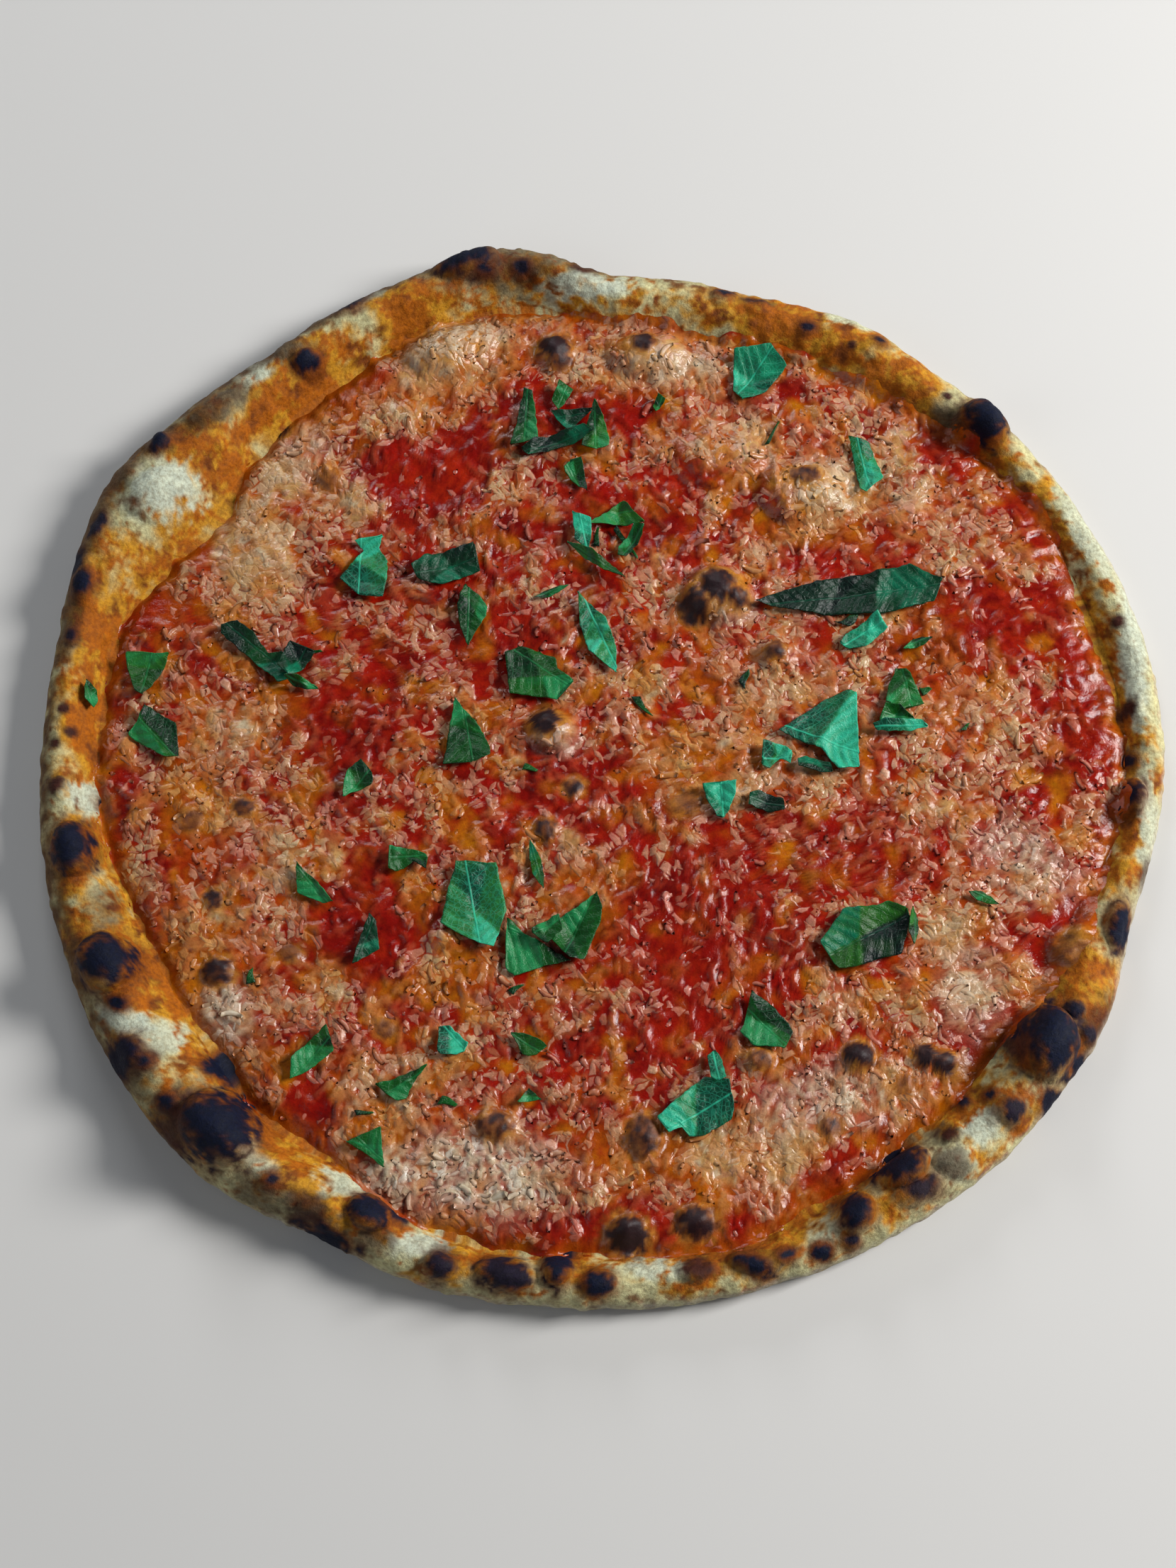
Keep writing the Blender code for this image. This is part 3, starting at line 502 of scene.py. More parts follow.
def noise_node(tree, coordinates, scale, detail=4.0, rough=0.6):
    """Noise of a size: scale is in lumps for each metre."""
    node = tree.nodes.new("ShaderNodeTexNoise")
    socket_values(node, Scale=scale, Detail=detail, Roughness=rough)
    tree.links.new(coordinates, node.inputs["Vector"])
    return node.outputs["Fac"]


def ramp(tree, factor, low, high, bottom=0.0, top=1.0):
    """Stretch a value from one range to another, with clamped ends."""
    node = tree.nodes.new("ShaderNodeMapRange")
    tree.links.new(factor, node.inputs["Value"])
    for name, value in (("From Min", low), ("From Max", high), ("To Min", bottom), ("To Max", top)):
        node.inputs[name].default_value = value
    return node.outputs["Result"]


def feed(tree, socket, value):
    """Link a socket to another one, or set it to a number, a vector or a colour."""
    if isinstance(value, bpy.types.NodeSocket):
        tree.links.new(value, socket)
    else:
        socket.default_value = (*value, 1) if socket.type == "RGBA" else value


def mix_colour(tree, factor, start, end, kind="MIX"):
    """Mix two colours, each a socket or three numbers."""
    node = tree.nodes.new("ShaderNodeMix")
    node.data_type, node.blend_type = "RGBA", kind
    for number, value in ((0, factor), (6, start), (7, end)):
        feed(tree, node.inputs[number], value)
    return node.outputs[2]


def tinted(tree, share, colour, tint):
    """A colour multiplied by a tint, as far as the share says."""
    return mix_colour(tree, share, colour, mix_colour(tree, 1.0, colour, tint, "MULTIPLY"))


def node_result(tree, kind, operation, *values):
    """The result of a math node, its sockets linked or set in turn."""
    node = tree.nodes.new(kind)
    node.operation = operation
    for socket, value in zip(node.inputs, values):
        feed(tree, socket, value)
    return node.outputs[0]


def calculated(tree, operation, *values):
    """A sum, product or other operation on numbers."""
    return node_result(tree, "ShaderNodeMath", operation, *values)


def bump(tree, height, strength, distance, before=None):
    """Turn a height into a shading direction; before is another bump's output."""
    node = tree.nodes.new("ShaderNodeBump")
    socket_values(node, Strength=strength, Distance=distance)
    tree.links.new(height, node.inputs["Height"])
    if before:
        tree.links.new(before, node.inputs["Normal"])
    return node.outputs["Normal"]


def attribute(tree, name, output="Color"):
    """A colour that the mesh keeps at its points or, with the output Fac, a number."""
    node = tree.nodes.new("ShaderNodeAttribute")
    node.attribute_name = name
    return node.outputs[output]


def object_coordinates(tree):
    """Places on the piece itself, in metres."""
    return tree.nodes.new("ShaderNodeTexCoord").outputs["Object"]


def dress(tree, shader, colour, roughness, shine, normal):
    """Give a shader its colour, roughness, strength of shine and bumps."""
    for name, value in (("Base Color", colour), ("Roughness", roughness),
                        ("Specular IOR Level", shine), ("Normal", normal)):
        feed(tree, shader.inputs[name], value)


print("material helpers ready")

# %% Finish of the crust
def crust_material():
    """Dough from the points' colours, with pores, fine mottling and flour."""
    finish, tree, shader = new_material("baked_dough")
    place = object_coordinates(tree)
    colour = attribute(tree, "baked_colour")
    grain = noise_node(tree, place, 900, 5)
    mottle = noise_node(tree, place, 330, 6, 0.7)
    colour = tinted(tree, ramp(tree, mottle, 0.3, 0.72, 0.0, 0.75), colour, (1.75, 1.7, 1.6))
    colour = tinted(tree, ramp(tree, grain, 0.38, 0.58, 0.5, 0.0), colour, (0.42, 0.33, 0.26))
    pores = bump(tree, grain, 0.35, 0.0006)
    skin = bump(tree, mottle, 0.5, 0.0016, pores)
    dress(tree, shader, colour, ramp(tree, mottle, 0.3, 0.7, 0.5, 0.8), 0.16, skin)
    return finish


def add_crust():
    """The rim's rings, closed underneath by flat rings and inside by a fan."""
    foot = rim_points[0]
    shares = np.linspace(0, 1, UNDERSIDE_ROWS + 1)[:-1]
    underside = foot[None] * shares[:, None, None] ** 0.7
    underside[..., 2] = 0
    points = np.concatenate((underside[1:], rim_points))
    rows = len(points)
    faces = ring_faces(rows, SPOKES).tolist()
    bottom, top = rows * SPOKES, rows * SPOKES + 1
    pairs = [(step, (step + 1) % SPOKES) for step in range(SPOKES)]
    last = (rows - 1) * SPOKES
    faces += [(b, a, bottom) for a, b in pairs]
    faces += [(last + a, last + b, top) for a, b in pairs]
    flat = points.reshape(-1, 3)
    flat = np.concatenate((flat, ((0, 0, 0), (0, 0, FLOOR_THICKNESS))))
    piece = add_mesh("baked_crust", flat, faces, crust_material())
    colours = np.tile(np.asarray(FLOUR) * 0.8, (len(flat), 1))
    start = (UNDERSIDE_ROWS - 1) * SPOKES
    colours[start:start + rim_colours.shape[0] * SPOKES] = rim_colours.reshape(-1, 3)
    set_colour(piece.data, "baked_colour", colours)
    return piece


crust = add_crust()
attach(crust, "root")
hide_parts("crust")
print("crust:", len(crust.data.polygons), "faces")

# %% [markdown]
# ## The sauce and cheese as one layer
# Sauce is spread thin and cheese melts into it, so together they are one wet, bumpy skin that rises
# over bubbles in the dough and thins out where it runs up the rim. A square grid bent into a disc gives
# points about a millimetre apart all over, without the crowding that rings have in their middle. Each
# point is dropped on the crust and raised by the layer's depth. Melted strips of cheese are pressed
# into a height map first, because thousands of soft ridges are cheaper in one skin than as pieces.

# %% Bubbles and sizes of the layer
TOPPING_THICKNESS = 2.2
TOPPING_EDGE = 0.7
TOPPING_FADE = 10.0
TOPPING_UNEVENNESS = 1.1
TOPPING_LUMP_SIZE = 11.0
TOPPING_GAP = 0.35
TOPPING_POINTS = 300      # on each side of the grid
SUNK_EDGE = 0.5           # the last points lie this far inside the dough
BUBBLE_ROUNDNESS = 0.75

# x, y, half length, half width, turn in degrees, height
TOPPING_BUBBLES = (
    (34, 48.5, 11, 10, 0, 6.5), (-15, 5.5, 8, 7.5, 0, 4.5), (60, 82, 14, 11, 0, 5),
    (-47, 131, 15, 12, 15, 5), (14, 128, 13, 9, 0, 4.5), (-15, 128, 6, 6, 0, 3),
    (51.5, 29.5, 6, 6, 0, 2.5), (-16, -25, 4.5, 4.5, 0, 1.8), (72, -92.5, 5, 4.5, 0, 2.5),
    (93.5, -93, 7, 4, 0, 2.2), (-111, -67.5, 4.5, 4.5, 0, 2), (-31, -112, 7, 5, 0, 2.2),
    (11, -115, 6, 7, 0, 2.2), (44, -93, 5, 5, 0, 1.8), (35, 93, 15, 11, 0, 3), (134, -60, 7, 8, 0, 4),
    (25, -139, 5, 5, 0, 3), (6.5, -142, 5, 5, 0, 3.5), (-83, 87, 4.5, 4.5, 0, 1.8),
    (-42, -56, 10, 6, 20, 2),
)
print(len(TOPPING_BUBBLES), "bubbles under the sauce")

# %% [markdown]
# ## Where cheese lies thick
# The strips fell unevenly. Some places are nearly bare red sauce, some are pools of melted cheese, some
# browned or crisped to white, and oil stained a few golden. A table of ovals says where each of these
# is on this pizza, and noise breaks up their edges. The same table colours the layer and, further
# down, the loose shreds, so the two always agree.

# %% Patches of cheese, sauce and oil
# x, y, half length, half width, turn in degrees, strength
POOLED_CHEESE = (
    (-106, 66, 13, 22, 15, 0.9), (-98, 86, 12, 9, 30, 0.8), (91, 90, 9, 15, 10, 0.8),
    (42, -120, 19, 12, 5, 0.9), (42, 100, 20, 12, -10, 0.55), (-45, 128, 22, 13, 10, 0.75),
    (20, 127, 22, 9, 0, 0.7), (70, 84, 14, 12, 0, 0.7), (-112, 4, 13, 12, 0, 0.55),
    (-84, -38, 18, 14, -30, 0.5), (107, -65, 14, 20, 20, 0.6), (30, -8, 16, 14, 0, 0.6),
    (95, -20, 20, 22, 0, 0.4), (60, 10, 22, 26, 0, 0.35), (-60, -100, 18, 10, 0, 0.6),
    (80, -105, 14, 10, 0, 0.55), (-108, -50, 12, 16, 0, 0.45), (110, 62, 12, 22, 10, 0.35),
    (-30, -50, 12, 14, 0, 0.4),
)
CRISP_CHEESE = (
    (-34, -125, 20, 12, -8, 1), (-58, -126, 8, 8, 0, 0.9), (122, -36, 14, 10, -30, 0.55),
    (-107, -79, 7, 9, 0, 0.9), (-47, 133, 14, 9, 10, 0.6), (60, -106, 16, 9, 10, 0.55),
    (66, 84, 9, 8, 0, 0.5), (36, 44, 9, 5, 0, 0.6), (-14, 3, 7, 5, 0, 0.6), (105, -74, 9, 12, 10, 0.5),
    (20, 124, 14, 6, 0, 0.5), (-92, 96, 8, 8, 0, 0.5),
)
OILY_GOLD = (
    (-43, -22, 4.5, 14, 28, 1), (-55, -43, 5, 9, 10, 0.8), (-44, -68, 14, 6, 20, 0.8),
    (26, -3, 14, 9, 0, 0.9), (-118, -66, 12, 18, 0, 0.9), (-128, 50, 6, 14, 0, 0.3),
    (-50, 118, 26, 8, 25, 0.7), (12, 118, 20, 5, 0, 0.5), (60, 70, 16, 6, 0, 0.6),
    (-92, 102, 16, 7, 35, 0.7), (-5, -48, 9, 12, 0, 0.6), (96, 30, 10, 22, 20, 0.4),
    (-118, -18, 10, 14, 0, 0.7), (-62, -112, 12, 8, 0, 0.6), (16, -120, 22, 9, 0, 0.6),
    (90, -118, 12, 9, 0, 0.4), (-98, 12, 10, 10, 0, 0.45), (34, 20, 9, 8, 0, 0.35),
    (-100, -95, 12, 6, 0, 0.6), (138, -62, 6, 8, 0, 0.6),
)
BARE_SAUCE = (
    (-52, 88, 24, 13, 38, 1), (-8, 110, 26, 8, 0, 1), (-136, 52, 11, 16, 20, 0.9),
    (-143, 30, 7, 9, 0, 0.8), (-77, 10, 14, 18, 0, 0.75), (-66, -52, 15, 24, 0, 0.85),
    (-84, -108, 9, 8, 0, 1), (140, 30, 9, 52, 6, 0.9), (135, 72, 8, 20, 28, 0.8),
    (133, -58, 11, 12, 0, 0.9), (5, -141, 36, 7, 0, 0.9), (62, -128, 9, 7, 20, 0.9),
    (112, -84, 10, 9, 0, 0.9), (104, 98, 12, 10, -30, 0.9), (112, 42, 13, 16, 0, 0.6),
    (24, -60, 28, 34, 0, 0.6), (-18, 62, 34, 12, 0, 0.35), (-10, -14, 20, 16, 0, 0.4),
    (12, 78, 22, 14, 0, 0.6), (70, 60, 22, 10, 0, 0.5), (-28, 30, 18, 16, 0, 0.4),
    (82, -34, 20, 12, 0, 0.35), (-60, 40, 22, 18, 0, 0.3), (95, -112, 10, 6, 0, 0.4),
)
TOASTED_TOPS = (
    (34, 50, 4, 4.5, 0, 1), (27, 44, 3.5, 4, 0, 0.9), (40, 46, 2.5, 2.5, 0, 0.8),
    (-17, 7.5, 3.6, 3.2, 0, 1), (51, 30, 2, 2, 0, 0.8), (61, 86, 4, 2.2, 0, 0.7),
    (12.5, 130.5, 3, 2.6, 0, 0.9), (-15, 130, 4.2, 3, 0, 1), (-13.5, 125.5, 2.5, 2.2, 0, 0.8),
    (72, -92, 3.4, 3.1, 0, 1), (91, -92, 2.4, 2.1, 0, 0.95), (96.5, -94.5, 2.5, 2.3, 0, 0.95),
    (63.5, -112.4, 2.2, 2, 0, 0.7), (44, -93.3, 2, 1.8, 0, 0.7), (11, -115, 3.6, 5.2, 0, 0.75),
    (-31, -112, 4, 3, 0, 0.75), (-17, -25, 2, 2, 0, 0.8), (-9, -12, 2, 1.6, 0, 0.8),
    (24, -17, 3, 2.6, 0, 0.6), (-105, -18.3, 2.2, 2, 0, 0.8), (-112.5, -46, 1.7, 1.6, 0, 0.9),
    (-83, 86, 2.2, 3, 0, 0.5), (-110.5, -67.5, 3.4, 2.8, 0, 0.95), (134, -62, 4, 4, 0, 0.5),
    (-98.5, 103.4, 1.5, 1.3, 0, 0.9), (25.5, -139.6, 4.3, 3.8, 0, 0.9), (6.4, -143, 4.6, 4.4, 0, 1),
    (-120, -22, 2.4, 2, 0, 0.6), (-90, -62, 2, 1.6, 0, 0.6), (85, -100, 2, 2, 0, 0.5),
    (-62, -84, 2, 1.6, 0, 0.6),
)
STREAK_SIZE = 5.5         # of the smaller breaks between cheese and sauce
TOAST_SPREAD = 1.3        # of the brown past the oval in the table


def topping_fields(x, y):
    """How much cheese, crisp cheese, oil and toast there is at each place, each from 0 to 1."""
    coarse, medium, fine = lumps(x, y, 17), lumps(x, y, STREAK_SIZE, 30), lumps(x, y, 2.2, 60)
    ragged = 0.45 * medium + 0.25 * fine + 0.2 * coarse
    bare = spots(x, y, BARE_SAUCE, 0.35, ragged)
    pooled = spots(x, y, POOLED_CHEESE, 0.45, ragged)
    cheese = np.clip(0.34 + 0.5 * coarse + 0.5 * medium + 0.25 * fine + 0.75 * pooled - 0.75 * bare, 0, 1)
    crisp = np.clip(spots(x, y, CRISP_CHEESE, 0.45, ragged) * (0.8 + 0.8 * fine + 0.3 * medium), 0, 1)
    oily = ease(0.08, 0.5, lumps(x, y, 8, 90)) * (1 - bare)
    gold = np.clip(spots(x, y, OILY_GOLD, 0.5, ragged) + oily, 0, 1)
    torn = 0.3 * lumps(x, y, 2.4, 120) + 0.2 * lumps(x, y, 1, 150)
    toast = spots(x, y, widened(TOASTED_TOPS, TOAST_SPREAD), 0.45, torn)
    return cheese, crisp, gold, toast, bare


print(len(POOLED_CHEESE) + len(CRISP_CHEESE) + len(OILY_GOLD) + len(BARE_SAUCE), "patches on the topping")

# %% [markdown]
# ## Melted strips as a height map
# A strip of cheese that has melted is a low rounded ridge, 3 to 10 mm long. Each ridge is stamped on a
# fine map: only the few cells round it are touched, so thousands of them take a moment. The layer's
# points then read the map.

# %% Stamp melted strips on a map
MAP_STEP = 0.5
MAP_REACH = 160.0
MELTED_STRIPS = 9500
MELTED_LENGTHS = (1.2, 5.5)
MELTED_HALF_WIDTHS = (0.8, 1.25)
MELTED_HEIGHTS = (0.35, 0.85)


def room_inside(x, y):
    """How far a place is inside the layer's edge, before the edge is made ragged."""
    return round_the_rim(TOPPING_RADIUS, np.arctan2(y, x)) - np.hypot(x, y)


def scatter_in_topping(draw, count, margin):
    """Random places all over the layer, a margin inside its edge."""
    x, y = draw.uniform(-MAP_REACH, MAP_REACH, (2, 2 * count))
    inside = room_inside(x, y) > margin
    return x[inside][:count], y[inside][:count]


def stamp_strips():
    """A map of the highest melted strip at each cell, from 0 to its height."""
    draw = np.random.default_rng(21)
    cells = int(2 * MAP_REACH / MAP_STEP) + 1
    ridge = np.zeros((cells, cells))
    x, y = scatter_in_topping(draw, MELTED_STRIPS, 1.5)
    cheese, crisp, *_ = topping_fields(x, y)
    keep = draw.random(len(x)) < 0.28 + 0.75 * np.maximum(cheese, crisp)
    for middle_x, middle_y in zip(x[keep], y[keep]):
        half_length = draw.uniform(*MELTED_LENGTHS) / 2
        half_width = draw.uniform(*MELTED_HALF_WIDTHS)
        turn, height = draw.uniform(0, 180), draw.uniform(*MELTED_HEIGHTS)
        reach = int((half_length + half_width) / MAP_STEP) + 1
        row = int((middle_y + MAP_REACH) / MAP_STEP)
        column = int((middle_x + MAP_REACH) / MAP_STEP)
        rows = slice(max(row - reach, 0), row + reach + 1)
        columns = slice(max(column - reach, 0), column + reach + 1)
        cell_y, cell_x = np.mgrid[rows, columns] * MAP_STEP - MAP_REACH
        turn = math.radians(turn)
        along, across = along_and_across(cell_x, cell_y, middle_x, middle_y, turn)
        across = across - 0.6 * half_width * np.sin(along / half_length * 1.4 + turn)
        past = np.maximum(np.abs(along) - half_length, 0)
        section = np.clip(1 - (np.hypot(past, across) / half_width) ** 2, 0, 1) ** 0.7
        window = ridge[rows, columns]
        np.maximum(window, height * section[:window.shape[0], :window.shape[1]], out=window)
    return ridge


def read_map(values, x, y):
    """The map's value at each place, between its cells."""
    column = np.clip((x + MAP_REACH) / MAP_STEP, 0, values.shape[1] - 1.001)
    row = np.clip((y + MAP_REACH) / MAP_STEP, 0, values.shape[0] - 1.001)
    left, low = column.astype(int), row.astype(int)
    right_share, high_share = column - left, row - low
    near = values[low, left] * (1 - right_share) + values[low, left + 1] * right_share
    far = values[low + 1, left] * (1 - right_share) + values[low + 1, left + 1] * right_share
    return near * (1 - high_share) + far * high_share


def blurred(values, cells):
    """A map evened out over a square of cells, by running sums along both ways."""
    for _ in range(2):
        padded = np.pad(values, ((cells + 1, cells), (0, 0)), mode="edge").cumsum(0)
        values = ((padded[2 * cells + 1:] - padded[:-2 * cells - 1]) / (2 * cells + 1)).T
    return values


melted_map = stamp_strips()
# painted shade: how far each cell lies below the strips round it, for darkening the hollows
painted_shade_map = blurred(melted_map, 3) - melted_map
print("melted strips cover", round(float((melted_map > 0.1).mean()), 2), "of the map")

# %% [markdown]
# ## Grains sunk in the skin
# Most grains of cheese have sunk into the sauce until only their backs show, and there are too many of
# them to model. They are drawn by the skin's finish instead: cells of a Voronoi pattern, stretched to
# the size of a grain and bent by noise, of which a share is filled. The share, the grains' colour and
# how dry the skin is come from attributes of the layer, so the finish follows the tables above. Three
# patterns, each turned another way, lie over one another.

# %% Finish of the sauce and cheese
# Turn in degrees, width and length in millimetres
SUNK_GRAINS = ((25, 1.9, 3.8), (-50, 1.8, 4.4), (80, 2.1, 3.0))
GRAIN_BEND = 3 * MM


def sunk_grains(tree, place, cover, turn, width, length):
    """Grains sunk in the skin: how much of one shows at each place, its height and its tone."""
    bend = tree.nodes.new("ShaderNodeTexNoise")
    socket_values(bend, Scale=170, Detail=2)
    tree.links.new(place, bend.inputs["Vector"])
    shift = node_result(tree, "ShaderNodeVectorMath", "SUBTRACT", bend.outputs["Color"], (0.5, 0.5, 0.5))
    shift = node_result(tree, "ShaderNodeVectorMath", "MULTIPLY", shift, (GRAIN_BEND,) * 3)
    turned = tree.nodes.new("ShaderNodeMapping")
    turned.vector_type = "TEXTURE"
    socket_values(turned, Rotation=(0, 0, math.radians(turn)), Scale=(length * MM, width * MM, 1))
    tree.links.new(node_result(tree, "ShaderNodeVectorMath", "ADD", place, shift), turned.inputs["Vector"])
    cells, edges = tree.nodes.new("ShaderNodeTexVoronoi"), tree.nodes.new("ShaderNodeTexVoronoi")
    edges.feature = "DISTANCE_TO_EDGE"
    for node in (cells, edges):
        node.voronoi_dimensions = "2D"
        socket_values(node, Scale=1, Randomness=0.9)
        tree.links.new(turned.outputs[0], node.inputs["Vector"])
    own = tree.nodes.new("ShaderNodeSeparateColor")
    tree.links.new(cells.outputs["Color"], own.inputs[0])
    here = calculated(tree, "LESS_THAN", own.outputs[0], cover)
    body = ramp(tree, edges.outputs["Distance"], 0.03, 0.16)
    swell = ramp(tree, edges.outputs["Distance"], 0.0, 0.3)
    return calculated(tree, "MULTIPLY", body, here), calculated(tree, "MULTIPLY", swell, here), own.outputs[1]


def sauce_material():
    """Wet sauce with grains of melted cheese sunk in it, under a glossy skin of oil."""
    finish, tree, shader = new_material("sauce_and_melted_cheese")
    place = object_coordinates(tree)
    colour = attribute(tree, "melted_colour")
    cover = attribute(tree, "cheese_cover", "Fac")
    mottle = noise_node(tree, place, 420, 5, 0.65)
    pulp = noise_node(tree, place, 1100, 4)
    colour = tinted(tree, ramp(tree, mottle, 0.4, 0.7, 0.0, 0.6), colour, (1.5, 1.3, 1.2))
    height = 0.0
    for turn, width, length in SUNK_GRAINS:
        body, swell, tone = sunk_grains(tree, place, cover, turn, width, length)
        own = tinted(tree, 1.0, attribute(tree, "shred_colour"),
                     mix_colour(tree, tone, (0.75, 0.55, 0.4), (1.15, 1.2, 1.35)))
        seen = calculated(tree, "MULTIPLY", body, ramp(tree, tone, 0.0, 1.0, 0.4, 0.95))
        colour = mix_colour(tree, seen, colour, own)
        height = calculated(tree, "MAXIMUM", height, swell)
    colour = tinted(tree, ramp(tree, pulp, 0.35, 0.55, 0.45, 0.0), colour, (0.6, 0.42, 0.35))
    skin = bump(tree, mottle, 0.3, 0.0008)
    skin = bump(tree, height, 0.4, 0.0005, skin)
    skin = bump(tree, pulp, 0.3, 0.0003, skin)
    wet = ramp(tree, mottle, 0.3, 0.7, 0.1, 0.26)
    dry = ramp(tree, attribute(tree, "toasted_share", "Fac"), 0, 1, 0.0, 0.55)
    dress(tree, shader, colour, calculated(tree, "MAXIMUM", wet, dry), 0.32, skin)
    return finish


print(len(SUNK_GRAINS), "patterns of grains")

# %% [markdown]
# ## Lay the layer on the crust
# Rays are dropped on the crust that is already made, so that the layer follows every lump of it. Past
# its edge the skin dives a little into the dough, which makes a clean wet line there. The colour of
# each point comes from the same fields as its height: sauce, oil, thin film, pools and crisp cheese, a
# painted shade in the hollows between the strips, golden on the bubbles and brown or black on their
# toasted tops.

# %% Build the layer
SAUCE_RED = (0.23, 0.004, 0.001)
SAUCE_DEEP = (0.09, 0.001, 0.001)
SAUCE_BRIGHT = (0.38, 0.02, 0.002)
CHEESE_FILM = (0.4, 0.085, 0.003)
CHEESE_PINK = (0.39, 0.1, 0.05)
CHEESE_PALE = (0.42, 0.25, 0.09)
CHEESE_WHITE = (0.52, 0.46, 0.32)
OIL_GOLD = (0.38, 0.12, 0.002)
BLISTER_GOLD = (0.46, 0.21, 0.03)
CHEESE_TOASTED = (0.13, 0.035, 0.006)
CHEESE_BURNT = (0.014, 0.003, 0.005)
PAINTED_SHADE_TINT = np.array((0.45, 0.2, 0.15))     # painted shade: the sauce in the hollows between the strips is darkened
EDGE_MARGIN = 1.2         # the layer ends this far past the radius in the table
EDGE_WAVES = ((2.6, 16), (1.6, 6), (0.7, 2.5))  # height and size of each wave of its edge
TOP_MARGIN = 1.2          # a toasted top swells up this much wider than it is
COLLAR_WIDTH = 1.9        # of the golden cheese round it


def surface_tree(mesh):
    """A dressed piece's surface, in millimetres, for dropping rays on."""
    points = np.empty(len(mesh.vertices) * 3, np.float32)
    mesh.vertices.foreach_get("co", points)
    return BVHTree.FromPolygons((points.reshape(-1, 3) / MM).tolist(),
                                [tuple(face.vertices) for face in mesh.polygons])


def height_on(tree, x, y):
    """The height of a surface at each place."""
    down = Vector((0, 0, -1))
    hits = [tree.ray_cast((a, b, 100), down)[0] for a, b in zip(x.ravel().tolist(), y.ravel().tolist())]
    return np.array([hit.z if hit else 0 for hit in hits]).reshape(x.shape)


def disc_grid(count):
    """A square grid bent into a disc of radius 1, evenly spread."""
    a, b = np.meshgrid(np.linspace(-1, 1, count), np.linspace(-1, 1, count))
    wide = np.abs(a) >= np.abs(b)
    radius = np.where(wide, a, b)
    with np.errstate(divide="ignore", invalid="ignore"):
        slant = np.where(wide, b / a, a / b) * math.pi / 4
    slant = np.nan_to_num(slant)
    angle = np.where(wide, slant, math.pi / 2 - slant)
    return radius * np.cos(angle), radius * np.sin(angle)


def topping_edge(angle):
    """The layer's edge: the measured radius, made ragged."""
    x, y = 150 * np.cos(angle), 150 * np.sin(angle)
    edge = round_the_rim(TOPPING_RADIUS, angle) + EDGE_MARGIN
    for height, size in EDGE_WAVES:
        edge = edge + height * lumps(x, y, size, 40)
    return edge


def topping_top(tree, x, y, room, fields):
    """The layer's upper surface at each place."""
    cheese, crisp, *_ = fields
    share = np.clip(room / TOPPING_FADE, 0, 1)
    depth = (TOPPING_THICKNESS + TOPPING_UNEVENNESS * lumps(x, y, TOPPING_LUMP_SIZE)
             + dome_height(x, y, TOPPING_BUBBLES, BUBBLE_ROUNDNESS)
             + dome_height(x, y, widened(TOASTED_TOPS, TOP_MARGIN), BUBBLE_ROUNDNESS))
    depth = TOPPING_EDGE + TOPPING_GAP + (depth - TOPPING_EDGE) * share
    relief = (read_map(melted_map, x, y) - 0.2 + 0.3 * lumps(x, y, 4, 11) + 0.18 * lumps(x, y, 1.7, 13)
              + 0.35 * cheese + 0.4 * crisp * (0.5 + lumps(x, y, 2.2, 17)))
    rim_share = ease(0, 5, room)
    return height_on(tree, x, y) + (depth + relief) * rim_share - SUNK_EDGE * (1 - ease(0, 2.5, room))


def topping_colours(x, y, room, fields):
    """The layer's colour at each place."""
    cheese, crisp, gold, toast, _ = fields
    melted =ease(0.12, 0.45, read_map(melted_map, x, y))
    medium, fine = lumps(x, y, 6, 200), lumps(x, y, 1.8, 210)
    colour = blend(SAUCE_RED, SAUCE_DEEP, 0.35 + 0.9 * lumps(x, y, 13, 220) + 0.5 * medium)
    colour = blend(colour, SAUCE_BRIGHT, 0.2 + 0.6 * fine + 0.5 * medium)
    colour = blend(colour, OIL_GOLD, gold * (0.8 + 0.6 * medium + 0.5 * fine))
    colour = blend(colour, CHEESE_FILM, ease(0.2, 0.9, cheese) * (0.65 + 0.7 * medium))
    pink = blend(CHEESE_PINK, CHEESE_PALE, cheese * 0.8 + 0.5 * medium)
    colour = blend(colour, pink, melted * (0.12 + 0.5 * cheese + 0.25 * medium))
    pool = ease(0.7, 1, cheese)
    colour = blend(colour, CHEESE_PALE, 0.9 * pool * (0.7 + 0.6 * medium))
    colour = blend(colour, OIL_GOLD, 0.65 * pool * ease(0.1, 0.45, lumps(x, y, 9, 230) + 0.3 * fine))
    colour = blend(colour, CHEESE_WHITE, crisp * (0.45 + 0.5 * melted))
    colour = blend(colour, CHEESE_WHITE, 0.75 * pool * ease(0.05, 0.4, lumps(x, y, 4, 240) + 0.4 * fine))
    colour = blend(colour, OIL_GOLD, 0.55 * ease(9, 2, room) * (0.6 + 0.8 * medium))
    # painted shade: the hollows between the strips are darkened, less where the cheese lies thick
    painted_hollow_shade = ease(0.02, 0.3, read_map(painted_shade_map, x, y) + 0.12 * fine)
    colour = blend(colour, colour * PAINTED_SHADE_TINT, (0.85 - 0.5 * cheese) * painted_hollow_shade)
    domed = ease(1.5, 4, dome_height(x, y, TOPPING_BUBBLES, BUBBLE_ROUNDNESS))
    colour = blend(colour, BLISTER_GOLD, domed * (0.55 + 0.5 * medium + 0.6 * fine))
    collar = spots(x, y, widened(TOASTED_TOPS, COLLAR_WIDTH), 0.4, 0.3 * fine + 0.2 * medium)
    colour = blend(colour, BLISTER_GOLD, 0.9 * collar)
    colour = blend(colour, CHEESE_TOASTED, ease(0.1, 0.75, toast + 0.3 * fine))
    return blend(colour, CHEESE_BURNT, ease(0.6, 0.9, toast + 0.3 * fine))


